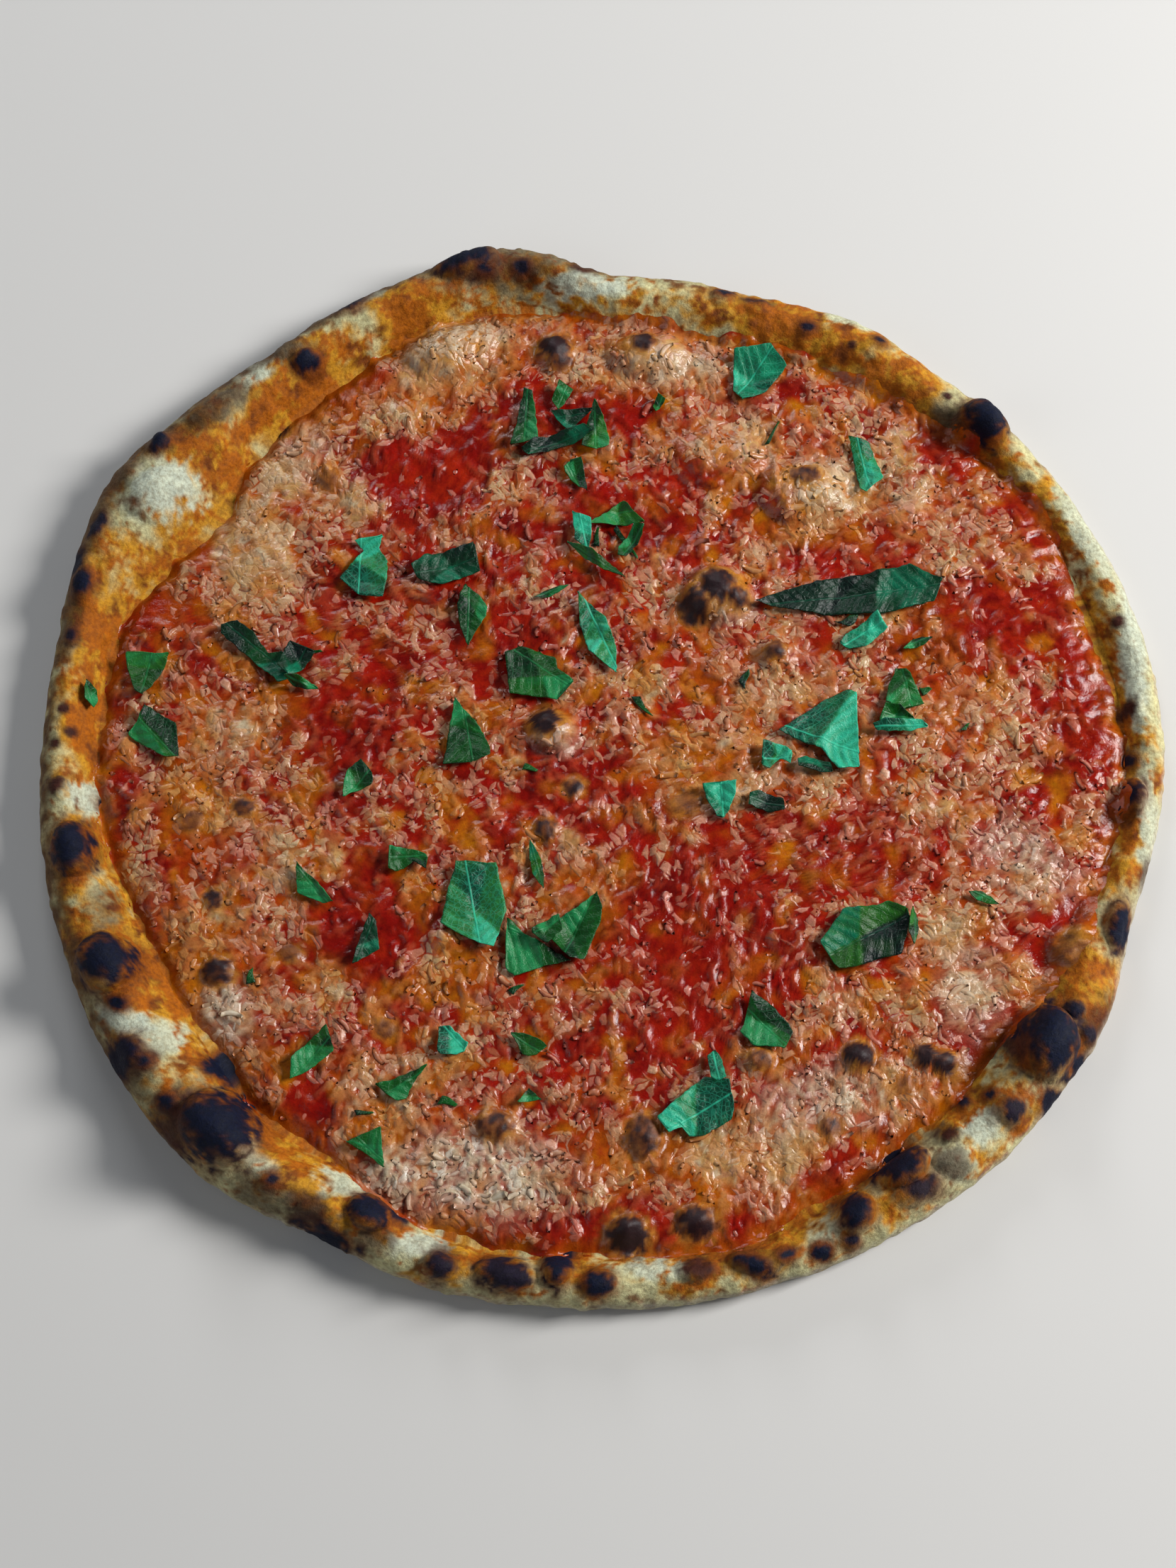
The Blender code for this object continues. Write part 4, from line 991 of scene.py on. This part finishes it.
def add_topping(tree):
    """The skin, with a flat underside hidden in the crust."""
    unit_x, unit_y = disc_grid(TOPPING_POINTS)
    unit_radius, angle = np.hypot(unit_x, unit_y), np.arctan2(unit_y, unit_x)
    edge = topping_edge(angle)
    x, y = unit_x * edge, unit_y * edge
    room = edge * (1 - unit_radius)
    fields = topping_fields(x, y)
    top = np.stack((x, y, topping_top(tree, x, y, room, fields)), -1)
    bottom = top.copy()
    bottom[..., 2] = np.minimum(FLOOR_THICKNESS - SUNK_EDGE, top[..., 2] - SUNK_EDGE)
    count = TOPPING_POINTS
    index = np.arange(count * count).reshape(count, count)
    squares = np.stack((index[:-1, :-1], index[:-1, 1:], index[1:, 1:], index[1:, :-1]), -1).reshape(-1, 4)
    border = np.concatenate((index[0, :-1], index[:-1, -1], index[-1, :0:-1], index[:0:-1, 0]))
    skirt = count * count + np.arange(len(border))
    after = np.roll(np.arange(len(border)), -1)
    walls = np.stack((border, skirt, skirt[after], border[after]), -1)
    middle = count * count + len(border)
    base = [(a, middle, b) for a, b in zip(skirt.tolist(), skirt[after].tolist())]
    points = np.concatenate((top.reshape(-1, 3), bottom.reshape(-1, 3)[border],
                             ((0, 0, FLOOR_THICKNESS - 1),)))
    piece = add_mesh("sauce_layer", points, squares.tolist() + walls.tolist() + base, sauce_material())
    colours = np.concatenate((topping_colours(x, y, room, fields).reshape(-1, 3),
                              np.tile(SAUCE_RED, (len(border) + 1, 1))))
    set_colour(piece.data, "melted_colour", colours)
    return piece, x, y, room, fields


layer, layer_x, layer_y, layer_room, layer_fields = add_topping(surface_tree(crust.data))
layer_tree = surface_tree(layer.data)
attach(layer, "root")
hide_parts("topping")
print("layer:", len(layer.data.polygons), "faces")

# %% [markdown]
# ## Basil, torn and laid on last
# A basil leaf is a thin sheet with a midrib, curved side veins and puckers between them. Torn pieces
# wilt on the hot cheese: they crease, their edges lift and some show the paler underside. Each leaf's
# plain solid gives its outline and where it lies. A fine grid is stretched between the two sides of
# that outline, dropped on the solid's top, folded, creased and puckered, and then given its thickness.
# A few crumbs that are too small to be solids are laid on with them.

# %% Outline of a leaf from its solid
LEAF_ROW_STEP = 0.55
LEAF_MIN_ROWS = 16
LEAF_COLUMNS = 25
LEAF_THICKNESS = 0.3
LEAF_CLEARANCE = 0.6      # of its upper face above the sauce
VEIN_SPACING = 3.4        # from one side vein to the next
VEIN_SLANT = 0.75         # how far one runs along the leaf for each step away from the midrib
FOLD_SLOPE = 0.22
FOLD_REACH = 4.0          # a fold stops rising this far from its line


def solid_of(node):
    """A node's points and triangles, in millimetres."""
    mesh = frame["nodes"][node].data
    points = np.array([vertex.co[:] for vertex in mesh.vertices]) / MM
    return points, np.array([tuple(face.vertices) for face in mesh.polygons])


def leaf_axes(points):
    """The leaf's middle and its long direction, seen from above."""
    middle = (points[:, :2].min(0) + points[:, :2].max(0)) / 2
    spread = points[:, :2] - points[:, :2].mean(0)
    _, vectors = np.linalg.eigh(spread.T @ spread)
    along = vectors[:, 1] * np.sign(vectors[0, 1] or 1)
    return middle, along, np.array((-along[1], along[0]))


def leaf_sides(points, faces, middle, along, across):
    """For even steps along the leaf, its lowest and highest reach across."""
    flat = np.stack(((points[:, :2] - middle) @ along, (points[:, :2] - middle) @ across), -1)
    edges = flat[np.concatenate((faces[:, (0, 1)], faces[:, (1, 2)], faces[:, (2, 0)]))]
    start, end = edges[:, 0], edges[:, 1]
    rows = max(LEAF_MIN_ROWS, int(np.ptp(flat[:, 0]) / LEAF_ROW_STEP))
    reach = np.linspace(flat[:, 0].min() + 0.05, flat[:, 0].max() - 0.05, rows)
    low, high = np.empty(rows), np.empty(rows)
    for index, place in enumerate(reach):
        crossing = (start[:, 0] - place) * (end[:, 0] - place) < 0
        share = (place - start[crossing, 0]) / (end[crossing, 0] - start[crossing, 0])
        across_at = start[crossing, 1] + share * (end[crossing, 1] - start[crossing, 1])
        low[index], high[index] = across_at.min(), across_at.max()
    return reach, low, high


leaf_nodes = sorted(node for node in frame["nodes"] if node.startswith("basil"))
print(len(leaf_nodes), "leaves")

# %% Shape of a leaf
def smooth_grid(values, passes):
    """Even out a grid of heights, a little in each pass."""
    for _ in range(passes):
        padded = np.pad(values, 1, mode="edge")
        beside = padded[:-2, 1:-1] + padded[2:, 1:-1] + padded[1:-1, :-2] + padded[1:-1, 2:]
        values = 0.5 * values + 0.125 * beside
    return values


def leaf_folds(u, v, draw):
    """Folds that cross a leaf: how far they lift it, and a painted light and shade that makes each part
    between them lighter or darker, partly standing for the paler underside.
    """
    rise, facet_light_and_underside = np.zeros(u.shape), np.zeros(u.shape)
    for _ in range(draw.integers(2, 4)):
        turn = draw.uniform(0, math.pi)
        middle = draw.uniform(-0.2, 0.2) * np.ptp(u) * math.cos(turn)
        past = u * math.cos(turn) + v * math.sin(turn) - middle + 1.2 * lumps(u, v, 9, draw.uniform(0, 900))
        rise += draw.choice((-FOLD_SLOPE, FOLD_SLOPE)) * np.minimum(np.abs(past), FOLD_REACH)
        facet_light_and_underside += draw.uniform(0.2, 0.5) * draw.choice((-1, 1)) * np.tanh(past / 0.3)
    return rise - rise.mean(), facet_light_and_underside


def leaf_grid(node, draw):
    """Points of a leaf's upper face and, for each, where it is along and across the leaf."""
    points, faces = solid_of(node)
    middle, along, across = leaf_axes(points)
    reach, low, high = leaf_sides(points, faces, middle, along, across)
    share = np.linspace(0, 1, LEAF_COLUMNS)
    u = np.repeat(reach[:, None], LEAF_COLUMNS, 1)
    v = low[:, None] + (high - low)[:, None] * share
    edge = np.abs(2 * share - 1) ** 6
    v = v + edge * 0.35 * lumps(u, v, 1.6, draw.uniform(0, 900))
    x, y = (middle[:, None, None] + along[:, None, None] * u + across[:, None, None] * v)
    tree = BVHTree.FromPolygons(points.tolist(), faces.tolist())
    inner_v = low[:, None] + (high - low)[:, None] * (0.06 + 0.88 * share)
    inner_u = np.clip(u, reach[1], reach[-2])
    inner_x, inner_y = (middle[:, None, None] + along[:, None, None] * inner_u
                        + across[:, None, None] * inner_v)
    z = height_on(tree, inner_x, inner_y)
    z = smooth_grid(np.where(z > 0, z, np.median(z)), 6)
    size = min(1.0, np.ptp(v) / 10)
    seed = draw.uniform(0, 900)
    rise, facet_light_and_underside = leaf_folds(u, v, draw)
    rib = v - draw.uniform(-0.15, 0.15) * np.ptp(v)
    vein_turn = draw.choice((-1, 1))
    herring = (u * vein_turn - VEIN_SLANT * np.abs(rib)) / VEIN_SPACING
    pucker = np.abs(np.sin(math.pi * herring + lumps(u, v, 5, seed)))
    crease = np.abs(lumps(0.35 * u + 0.9 * v + seed, 0.9 * u - 0.35 * v, 4.2))
    curl = (2 * share - 1) ** 2 * lumps(u, np.sign(share - 0.5) * 40 + 0 * u, 7, seed)
    z = z + size * (0.35 * pucker + 0.5 * crease + 0.6 * np.maximum(curl, -0.3) + rise
                    + 0.4 * lumps(u, v, 6, seed + 50) - 0.25 * np.exp(-(rib / 0.6) ** 2))
    z = np.maximum(z, height_on(layer_tree, x, y) + LEAF_CLEARANCE)
    return np.stack((x, y, z), -1), np.stack((u * vein_turn, rib), -1), pucker, facet_light_and_underside


def sheet_solid(top, thickness):
    """Faces and points of a thin body whose upper face is a grid."""
    rows, columns = top.shape[:2]
    normals = np.cross(np.gradient(top, axis=0), np.gradient(top, axis=1))
    normals /= np.maximum(np.linalg.norm(normals, axis=-1, keepdims=True), 1e-9)
    normals *= np.sign(normals[..., 2:].sum())
    bottom = top - thickness * normals
    index = np.arange(rows * columns).reshape(rows, columns)
    squares = np.stack((index[:-1, :-1], index[1:, :-1], index[1:, 1:], index[:-1, 1:]), -1).reshape(-1, 4)
    border = np.concatenate((index[:-1, 0], index[-1, :-1], index[:0:-1, -1], index[0, :0:-1]))
    after = np.roll(border, -1)
    count = rows * columns
    walls = np.stack((after, border, border + count, after + count), -1)
    faces = np.concatenate((squares, squares[:, ::-1] + count, walls))
    return np.concatenate((top.reshape(-1, 3), bottom.reshape(-1, 3))), faces


print("a leaf has", LEAF_COLUMNS, "points across")

# %% [markdown]
# ## The leaf's finish
# Wilted basil is waxy: deep green in cloudy patches. Between its folds each part is painted lighter
# or darker, a painted light and shade that in places stands for the paler underside, and the lightest
# parts and their puckers get a painted teal sheen, a reflection of the sky. The underside is paler,
# with a fine net of veins. The net runs along the leaf, so the material reads the leaf's own UV map,
# in millimetres along and across it. Three tones make three pieces.

# %% Finish and pieces of basil
LEAF_TONES = {
    # deep and usual colour, the colour of a painted sheen that the veins also take, and how much the veins
    # stand out
    "dark": ((0.001, 0.006, 0.005), (0.001, 0.032, 0.009), (0.003, 0.16, 0.08), 0.2),
    "green": ((0.002, 0.018, 0.005), (0.006, 0.09, 0.008), (0.018, 0.25, 0.08), 0.35),
    "pale": ((0.003, 0.055, 0.028), (0.008, 0.24, 0.11), (0.03, 0.45, 0.27), 0.75),
}
FRESH_GREEN = (0.03, 0.16, 0.008)


def leaf_material(tone):
    """Waxy leaf with a midrib, side veins and a fine net between them."""
    finish, tree, shader = new_material("basil_" + tone)
    _, _, painted_sheen_and_veins, vein_strength = LEAF_TONES[tone]
    uv = tree.nodes.new("ShaderNodeUVMap")
    uv.uv_map = "leaf"
    along = uv.outputs["UV"]
    net = tree.nodes.new("ShaderNodeTexVoronoi")
    net.feature = "DISTANCE_TO_EDGE"
    socket_values(net, Scale=0.75, Randomness=0.9)
    tree.links.new(along, net.inputs["Vector"])
    net_line = ramp(tree, net.outputs["Distance"], 0.0, 0.13, 1.0, 0.0)
    split = tree.nodes.new("ShaderNodeSeparateXYZ")
    tree.links.new(along, split.inputs[0])
    side = calculated(tree, "ABSOLUTE", split.outputs["Y"])
    rib = ramp(tree, side, 0.1, 0.42, 1.0, 0.0)
    slanted = calculated(tree, "SUBTRACT", split.outputs["X"], calculated(tree, "MULTIPLY", side, VEIN_SLANT))
    wander = calculated(tree, "MULTIPLY", noise_node(tree, along, 0.25, 2), 0.5)
    phase = calculated(tree, "ADD", calculated(tree, "DIVIDE", slanted, VEIN_SPACING), wander)
    wave = calculated(tree, "SINE", calculated(tree, "MULTIPLY", phase, math.pi))
    band = calculated(tree, "ABSOLUTE", wave)
    side_vein = calculated(tree, "MULTIPLY", ramp(tree, band, 0.0, 0.14, 1.0, 0.0), 0.7)
    veins = calculated(tree, "MAXIMUM", side_vein, calculated(tree, "MULTIPLY", net_line, 0.3))
    veins = calculated(tree, "MAXIMUM", rib, veins)
    fine = noise_node(tree, along, 1.4, 5, 0.7)
    colour = attribute(tree, "leaf_colour")
    colour = tinted(tree, ramp(tree, fine, 0.35, 0.65, 0.55, 0.0), colour, (0.35, 0.5, 0.5))
    colour = mix_colour(tree, calculated(tree, "MULTIPLY", veins, vein_strength), colour, painted_sheen_and_veins)
    skin = bump(tree, fine, 0.3, 0.0005, bump(tree, veins, 0.35, 0.0005))
    dress(tree, shader, colour, 0.33, 0.25, skin)
    return finish


def join_sheets(name, tone, sheets):
    """One piece from many thin sheets, each given as its upper face, colours and UV grid."""
    points, faces, colours, maps, start = [], [], [], [], 0
    for top, colour, uv in sheets:
        body, body_faces = sheet_solid(top, LEAF_THICKNESS)
        points.append(body)
        faces.append(body_faces + start)
        colours += [colour.reshape(-1, 3)] * 2
        maps += [uv.reshape(-1, 2)] * 2
        start += len(body)
    piece = add_mesh(name, np.concatenate(points), np.concatenate(faces).tolist(), leaf_material(tone))
    set_colour(piece.data, "leaf_colour", np.concatenate(colours))
    corners = np.empty(len(piece.data.loops), int)
    piece.data.loops.foreach_get("vertex_index", corners)
    layer_uv = piece.data.uv_layers.new(name="leaf")
    layer_uv.data.foreach_set("uv", np.concatenate(maps)[corners].astype(np.float32).ravel())
    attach(piece, "root")
    return piece


def add_leaves(tone, nodes, draw):
    """All the leaves of one tone, as one piece."""
    deep, usual, painted_sheen_and_veins, _ = LEAF_TONES[tone]
    sheets = []
    for node in nodes:
        top, uv, pucker, facet_light_and_underside = leaf_grid(node, draw)
        cloudy = 0.6 * lumps(uv[..., 0], uv[..., 1], 7, draw.uniform(0, 900))
        # painted light and shade: each part between the folds is lighter or darker, partly standing for the
        # paler underside
        shade = 0.4 + facet_light_and_underside + cloudy + draw.uniform(-0.15, 0.15)
        fresh = max(0.0, draw.uniform(-0.6, 0.9))
        colour = blend(deep, blend(usual, FRESH_GREEN, fresh), 0.35 + shade)
        # painted sheen: the lightest parts and the puckers on them take a teal reflection of the sky
        colour = blend(colour, painted_sheen_and_veins, ease(0.45, 1.1, shade) * (0.45 + 0.55 * pucker))
        sheets.append((top, colour, uv))
    piece = join_sheets("leaves_" + tone, tone, sheets)
    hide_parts(*nodes)
    return piece


# Crumbs of basil: x, y, length, width, turn in degrees
BASIL_BITS = (
    (-85.5, 30, 3.4, 1.2, 10), (-25, -72.5, 4.2, 2, 30), (-101, -69, 4, 2.5, 80),
    (-44, -105.5, 5, 3, -20), (-67.5, -108.5, 5, 1.6, 5), (73, 40, 5, 4, 40), (95.2, 18, 3, 2.8, 10),
    (106.7, 6.5, 2.4, 1.6, 60), (42, 21.5, 5, 2.8, 65), (11.5, 13, 7, 2.2, -50),
    (-21.5, -6.5, 4.2, 2.2, -15), (7, 65, 12, 1.8, -57), (-2, 67, 6, 2, 80), (51.5, 101, 8, 1.1, 62),
)
BIT_POINTS = (7, 5)


def add_bits(draw):
    """Crumbs and threads of basil, each a thin curled piece that narrows to a torn end."""
    sheets = []
    for x, y, length, width, turn in BASIL_BITS:
        u, v = np.meshgrid(*(np.linspace(-1, 1, count) for count in BIT_POINTS), indexing="ij")
        along = u * length / 2 + 0.4 * width * v * draw.uniform(-1, 1)
        across = (v + 0.4 * np.sin(2 * u + draw.uniform(0, 6))) * width / 2 * (0.65 - 0.35 * u)
        turn = math.radians(turn)
        bit_x = x + along * math.cos(turn) - across * math.sin(turn)
        bit_y = y + along * math.sin(turn) + across * math.cos(turn)
        z = height_on(layer_tree, bit_x, bit_y).max() + 0.3 + 0.2 * v * draw.uniform(-1, 1) + 0.3 * u ** 2
        shade = draw.uniform(0, 1) + 0.4 * u
        colour = blend(LEAF_TONES["dark"][0], LEAF_TONES["green"][1], shade)
        sheets.append((np.stack((bit_x, bit_y, z), -1), colour, np.stack((along, across + 2 * width), -1)))
    return join_sheets("basil_bits", "green", sheets)


slot_of = {part["node"]: part["material_slot"] for part in frame["record"]["subparts"]}
leaf_draw = np.random.default_rng(5)
leaves = [add_leaves(tone, [node for node in leaf_nodes if slot_of[node] == "basil_" + tone], leaf_draw)
          for tone in LEAF_TONES]
bits = add_bits(leaf_draw)
print("leaves:", {piece.name: len(piece.data.polygons) for piece in leaves + [bits]}, "faces")

# %% [markdown]
# ## Shreds that kept their shape
# The skin's finish draws the grains that have sunk in. Only the loose ones that stand out are modelled:
# short, bent, blunt strips like grains of rice, paler than what they lie on. A few shapes are enough,
# and Geometry Nodes scatter them: points keep a distance from each other, a share that the layer
# carries thins them out on bare sauce and under leaves, and each shred is turned, sized and sunk a
# little. The result is realized and becomes a plain mesh.

# %% Shapes of a shred
SHRED_SECTION = np.array(((1, -0.4), (0.6, 0.35), (0, 0.6), (-0.6, 0.35), (-1, -0.4)))    # across and up


def shred_shape(name, length, width, height, bend, seed, rings):
    """A blunt bent strip on the XY plane, flat below and round on top, its middle at the origin."""
    draw = np.random.default_rng(seed)
    sides = len(SHRED_SECTION)
    share = np.linspace(-1, 1, rings)
    swell = (1 - 0.35 * share ** 4) * draw.uniform(0.8, 1.15, rings)
    x = np.repeat((share * length / 2)[:, None], sides, 1)
    y = (bend * (1 - share ** 2))[:, None] + swell[:, None] * width / 2 * SHRED_SECTION[:, 0]
    z = swell[:, None] * height * SHRED_SECTION[:, 1] + (0.12 * height * draw.uniform(-1, 1, rings))[:, None]
    hoops = np.stack((x, y, z), -1)
    ends = [hoops[side].mean(0) + (sign * 0.35 * width, 0, 0) for side, sign in ((0, -1), (-1, 1))]
    points = np.concatenate((hoops.reshape(-1, 3), ends))
    faces = ring_faces(rings, sides)[:, ::-1].tolist()
    first, last = len(points) - 2, len(points) - 1
    for side in range(sides):
        after = (side + 1) % sides
        faces.append((first, after, side))
        faces.append((last, (rings - 1) * sides + side, (rings - 1) * sides + after))
    mesh = bpy.data.meshes.new(name)
    mesh.from_pydata((points * MM).tolist(), [], faces)
    mesh.shade_smooth()
    crown = np.clip(points[:, 2] / height / 0.6, 0, 1)
    mesh.attributes.new("crown", "FLOAT", "POINT").data.foreach_set("value", crown.astype(np.float32))
    return bpy.data.objects.new(name, mesh)


def collection_of(name, shapes):
    """Shapes kept out of the scene, for a scatter to pick from."""
    group = bpy.data.collections.new(name)
    for shape in shapes:
        group.objects.link(shape)
    return group


STRIP_SIZES = (
    # length, width, height, bend
    (4.2, 2.3, 0.75, 0.3), (5.6, 2.1, 0.7, -0.6), (3.0, 2.5, 0.8, 0.2), (6.6, 2.1, 0.7, 0.8),
    (4.8, 2.6, 0.75, -0.3), (2.2, 2.2, 0.75, 0.0), (3.6, 2.1, 0.7, 0.5),
)
GRAIN_SIZES = ((1.6, 2.1, 0.75, 0.1), (2.4, 2.1, 0.7, 0.3), (1.1, 2.3, 0.75, 0.0), (3.0, 1.9, 0.7, -0.4))
strips = collection_of("strips", [shred_shape(f"strip_{number}", *sizes, number, 5)
                                  for number, sizes in enumerate(STRIP_SIZES, 1)])
grains = collection_of("grains", [shred_shape(f"grain_{number}", *sizes, number, 3)
                                  for number, sizes in enumerate(GRAIN_SIZES, 1)])

# %% [markdown]
# ## A scatter as a node tree
# The tree is built once and used for each kind of crumb. Its inputs have names, so the numbers that a
# cook would change are in one place: how close the pieces may lie, how large they are and how deep
# they are sunk. Points take the layer's own attributes with them, which is how a shred knows the
# colour of the cheese where it lies.

# %% Node tree of the scatter
SCATTER_INPUTS = (
    # name, kind of socket, value
    ("Surface", "Geometry", None), ("Shapes", "Collection", None), ("Share", "String", "shred_share"),
    ("Distance", "Float", 0.002), ("Smallest", "Float", 0.7), ("Largest", "Float", 1.2),
    ("Rise", "Float", 0.0), ("Seed", "Int", 1), ("Finish", "Material", None),
)
SHRED_TILT = 0.08         # in radians, either way


def scatter_tree():
    """Scatter a collection's shapes over a surface, thinned by the attribute named share."""
    tree = bpy.data.node_groups.new("scatter", "GeometryNodeTree")
    for name, kind, value in SCATTER_INPUTS:
        socket = tree.interface.new_socket(name, in_out="INPUT", socket_type="NodeSocket" + kind)
        if value is not None:
            socket.default_value = value
    tree.interface.new_socket("Pieces", in_out="OUTPUT", socket_type="NodeSocketGeometry")

    def add(kind, feeds, setting=None, choice=None, **values):
        """Add a node: what feeds its sockets, one setting of its own and its sockets' values."""
        node = tree.nodes.new(kind)
        if setting:
            setattr(node, setting, choice)
        socket_values(node, **values)
        for socket, source in feeds.items():
            tree.links.new(source, node.inputs[socket])
        return node

    given = tree.nodes.new("NodeGroupInput").outputs
    seed = {"Seed": given["Seed"]}
    share = add("GeometryNodeInputNamedAttribute", {"Name": given["Share"]}, "data_type", "FLOAT")
    points = add("GeometryNodeDistributePointsOnFaces",
                 {"Mesh": given["Surface"], "Distance Min": given["Distance"],
                  "Density Factor": share.outputs["Attribute"], **seed},
                 "distribute_method", "POISSON", Density_Max=1e6)
    lift = add("ShaderNodeVectorMath", {0: points.outputs["Normal"], "Scale": given["Rise"]},
               "operation", "SCALE")
    place = add("GeometryNodeSetPosition", {"Geometry": points.outputs["Points"], "Offset": lift.outputs[0]})
    tilt = add("FunctionNodeRandomValue", seed, "data_type", "FLOAT_VECTOR")
    tilt.inputs[0].default_value = (-SHRED_TILT, -SHRED_TILT, 0)
    tilt.inputs[1].default_value = (SHRED_TILT, SHRED_TILT, math.tau)
    as_turn = add("FunctionNodeEulerToRotation", {0: tilt.outputs[0]})
    turn = add("FunctionNodeRotateRotation",
               {"Rotation": points.outputs["Rotation"], "Rotate By": as_turn.outputs[0]},
               "rotation_space", "LOCAL")
    size = add("FunctionNodeRandomValue", {2: given["Smallest"], 3: given["Largest"], **seed},
               "data_type", "FLOAT")
    tone = add("FunctionNodeRandomValue", seed, "data_type", "FLOAT")
    mark = add("GeometryNodeStoreNamedAttribute",
               {"Geometry": place.outputs["Geometry"], "Value": tone.outputs[1]},
               "data_type", "FLOAT", Name="tone")
    shapes = add("GeometryNodeCollectionInfo", {"Collection": given["Shapes"]},
                 Separate_Children=True, Reset_Children=True)
    pieces = add("GeometryNodeInstanceOnPoints",
                 {"Points": mark.outputs["Geometry"], "Instance": shapes.outputs[0],
                  "Rotation": turn.outputs[0], "Scale": size.outputs[1]}, Pick_Instance=True)
    real = add("GeometryNodeRealizeInstances", {"Geometry": pieces.outputs["Instances"]})
    finish = add("GeometryNodeSetMaterial",
                 {"Geometry": real.outputs["Geometry"], "Material": given["Finish"]})
    add("NodeGroupOutput", {"Pieces": finish.outputs["Geometry"]})
    return tree


def scatter(name, surface, tree, **values):
    """Run the scatter on a surface and keep its result as a plain mesh."""
    piece = bpy.data.objects.new(name, surface)
    SCENE.collection.objects.link(piece)
    modifier = piece.modifiers.new("scatter", "NODES")
    modifier.node_group = tree
    identifiers = {item.name: item.identifier for item in tree.interface.items_tree if item.in_out == "INPUT"}
    for key, value in values.items():
        modifier[identifiers[key]] = value
    bpy.context.view_layer.update()
    result = bpy.data.meshes.new_from_object(piece.evaluated_get(bpy.context.evaluated_depsgraph_get()))
    piece.modifiers.remove(modifier)
    piece.data = result
    result.name = name
    return piece


scatter_nodes = scatter_tree()
print("inputs:", [item.name for item in scatter_nodes.interface.items_tree])

# %% Where shreds lie, and their colour
SHRED_PINK = (0.46, 0.15, 0.1)
SHRED_CREAM = (0.46, 0.31, 0.15)
SHRED_WHITE = (0.57, 0.53, 0.4)
SHRED_GOLD = (0.5, 0.2, 0.015)
LEAF_REACH = 40           # no leaf reaches further from its middle


def set_share(mesh, name, values, extra):
    """Keep a number for each point; the points past the grid get none."""
    full = np.concatenate((np.clip(values, 0, 1).ravel(), np.zeros(extra)))
    mesh.attributes.new(name, "FLOAT", "POINT").data.foreach_set("value", full.astype(np.float32))


def clear_of_leaves(x, y):
    """0 under a leaf and 1 elsewhere."""
    clear = np.ones(x.shape)
    for node in leaf_nodes:
        points, faces = solid_of(node)
        middle_x, middle_y = points[:, :2].mean(0)
        near = (np.maximum(np.abs(x - middle_x), np.abs(y - middle_y)) < LEAF_REACH) & (clear > 0)
        tree = BVHTree.FromPolygons(points.tolist(), faces.tolist())
        clear[near] = np.where(height_on(tree, x[near], y[near]) > 0, 0, 1)
    return clear


def prepare_layer():
    """Give the layer what the scatter reads: shares and the shreds' colour."""
    cheese, crisp, gold, toast, bare = layer_fields
    extra = len(layer.data.vertices) - layer_x.size
    soft = 1 - ease(0.05, 0.4, toast)
    inside = ease(2, 6, layer_room) * clear_of_leaves(layer_x, layer_y) * soft
    medium = lumps(layer_x, layer_y, 5, 300)
    coarse = lumps(layer_x, layer_y, 14, 310)
    loose = inside * (1 - 0.8 * ease(0.7, 1, cheese) * (1 - crisp))
    cover = 0.19 + 0.28 * cheese + 0.45 * medium + 0.4 * coarse - 0.25 * bare + 0.15 * crisp - 0.15 * gold
    for name, share in (
            ("shred_share", loose * (0.03 + 0.08 * cheese + 0.15 * medium - 0.05 * bare)),
            ("grain_share", loose * (0.05 + 0.08 * cheese - 0.15 * medium - 0.06 * bare)),
            ("crisp_share", inside * (0.01 + 0.34 * crisp + 0.05 * medium)),
            ("toasted_share", ease(0.1, 0.6, toast)),
            ("cheese_cover", ease(1, 5, layer_room) * soft * cover)):
        set_share(layer.data, name, share, extra)
    colour = blend(SHRED_PINK, SHRED_CREAM, 0.15 + 0.7 * cheese - 0.4 * bare + 0.7 * coarse)
    colour = blend(colour, SHRED_GOLD, 0.65 * gold)
    colour = blend(colour, SHRED_WHITE, 0.9 * crisp)
    colour = np.concatenate((colour.reshape(-1, 3), np.tile(SHRED_PINK, (extra, 1))))
    set_colour(layer.data, "shred_colour", colour)


def shred_material(name, bright, roughness):
    """Half melted cheese: the colour of its place, a tone of its own, and a wet skin."""
    finish, tree, shader = new_material(name)
    place = object_coordinates(tree)
    colour = attribute(tree, "shred_colour")
    tint = mix_colour(tree, attribute(tree, "tone", "Fac"), (0.75, 0.5, 0.42),
                      (bright, bright * 1.08, bright * 1.15))
    colour = tinted(tree, 1.0, colour, tint)
    cloud = noise_node(tree, place, 700, 4, 0.6)
    colour = tinted(tree, ramp(tree, cloud, 0.35, 0.6, 0.6, 0.0), colour, (0.75, 0.45, 0.38))
    crown = ramp(tree, attribute(tree, "crown", "Fac"), 0.4, 0.95, 0.0, 0.9)
    colour = mix_colour(tree, crown, attribute(tree, "melted_colour"), colour)
    dress(tree, shader, colour, roughness, 0.4, bump(tree, cloud, 0.3, 0.0004))
    return finish


prepare_layer()
SHRED_KINDS = (
    # name, shapes, share, distance, smallest, largest, rise, seed, brightness, roughness; in millimetres
    ("melted_shreds", strips, "shred_share", 2.0, 0.65, 1.1, -0.12, 4, 1.05, 0.26),
    ("melted_grains", grains, "grain_share", 1.7, 0.6, 1.15, -0.12, 6, 1.05, 0.26),
    ("crisp_shreds", strips, "crisp_share", 2.4, 0.5, 0.9, 0.08, 9, 1.15, 0.45),
)
for name, shapes, share, distance, smallest, largest, rise, seed, bright, roughness in SHRED_KINDS:
    shreds = scatter(name, layer.data, scatter_nodes, Shapes=shapes, Share=share, Distance=distance * MM,
                     Smallest=smallest, Largest=largest, Rise=rise * MM, Seed=seed,
                     Finish=shred_material(name, bright, roughness))
    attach(shreds, "root")
    print(name, len(shreds.data.polygons), "faces", [item.name for item in shreds.data.attributes][:12])
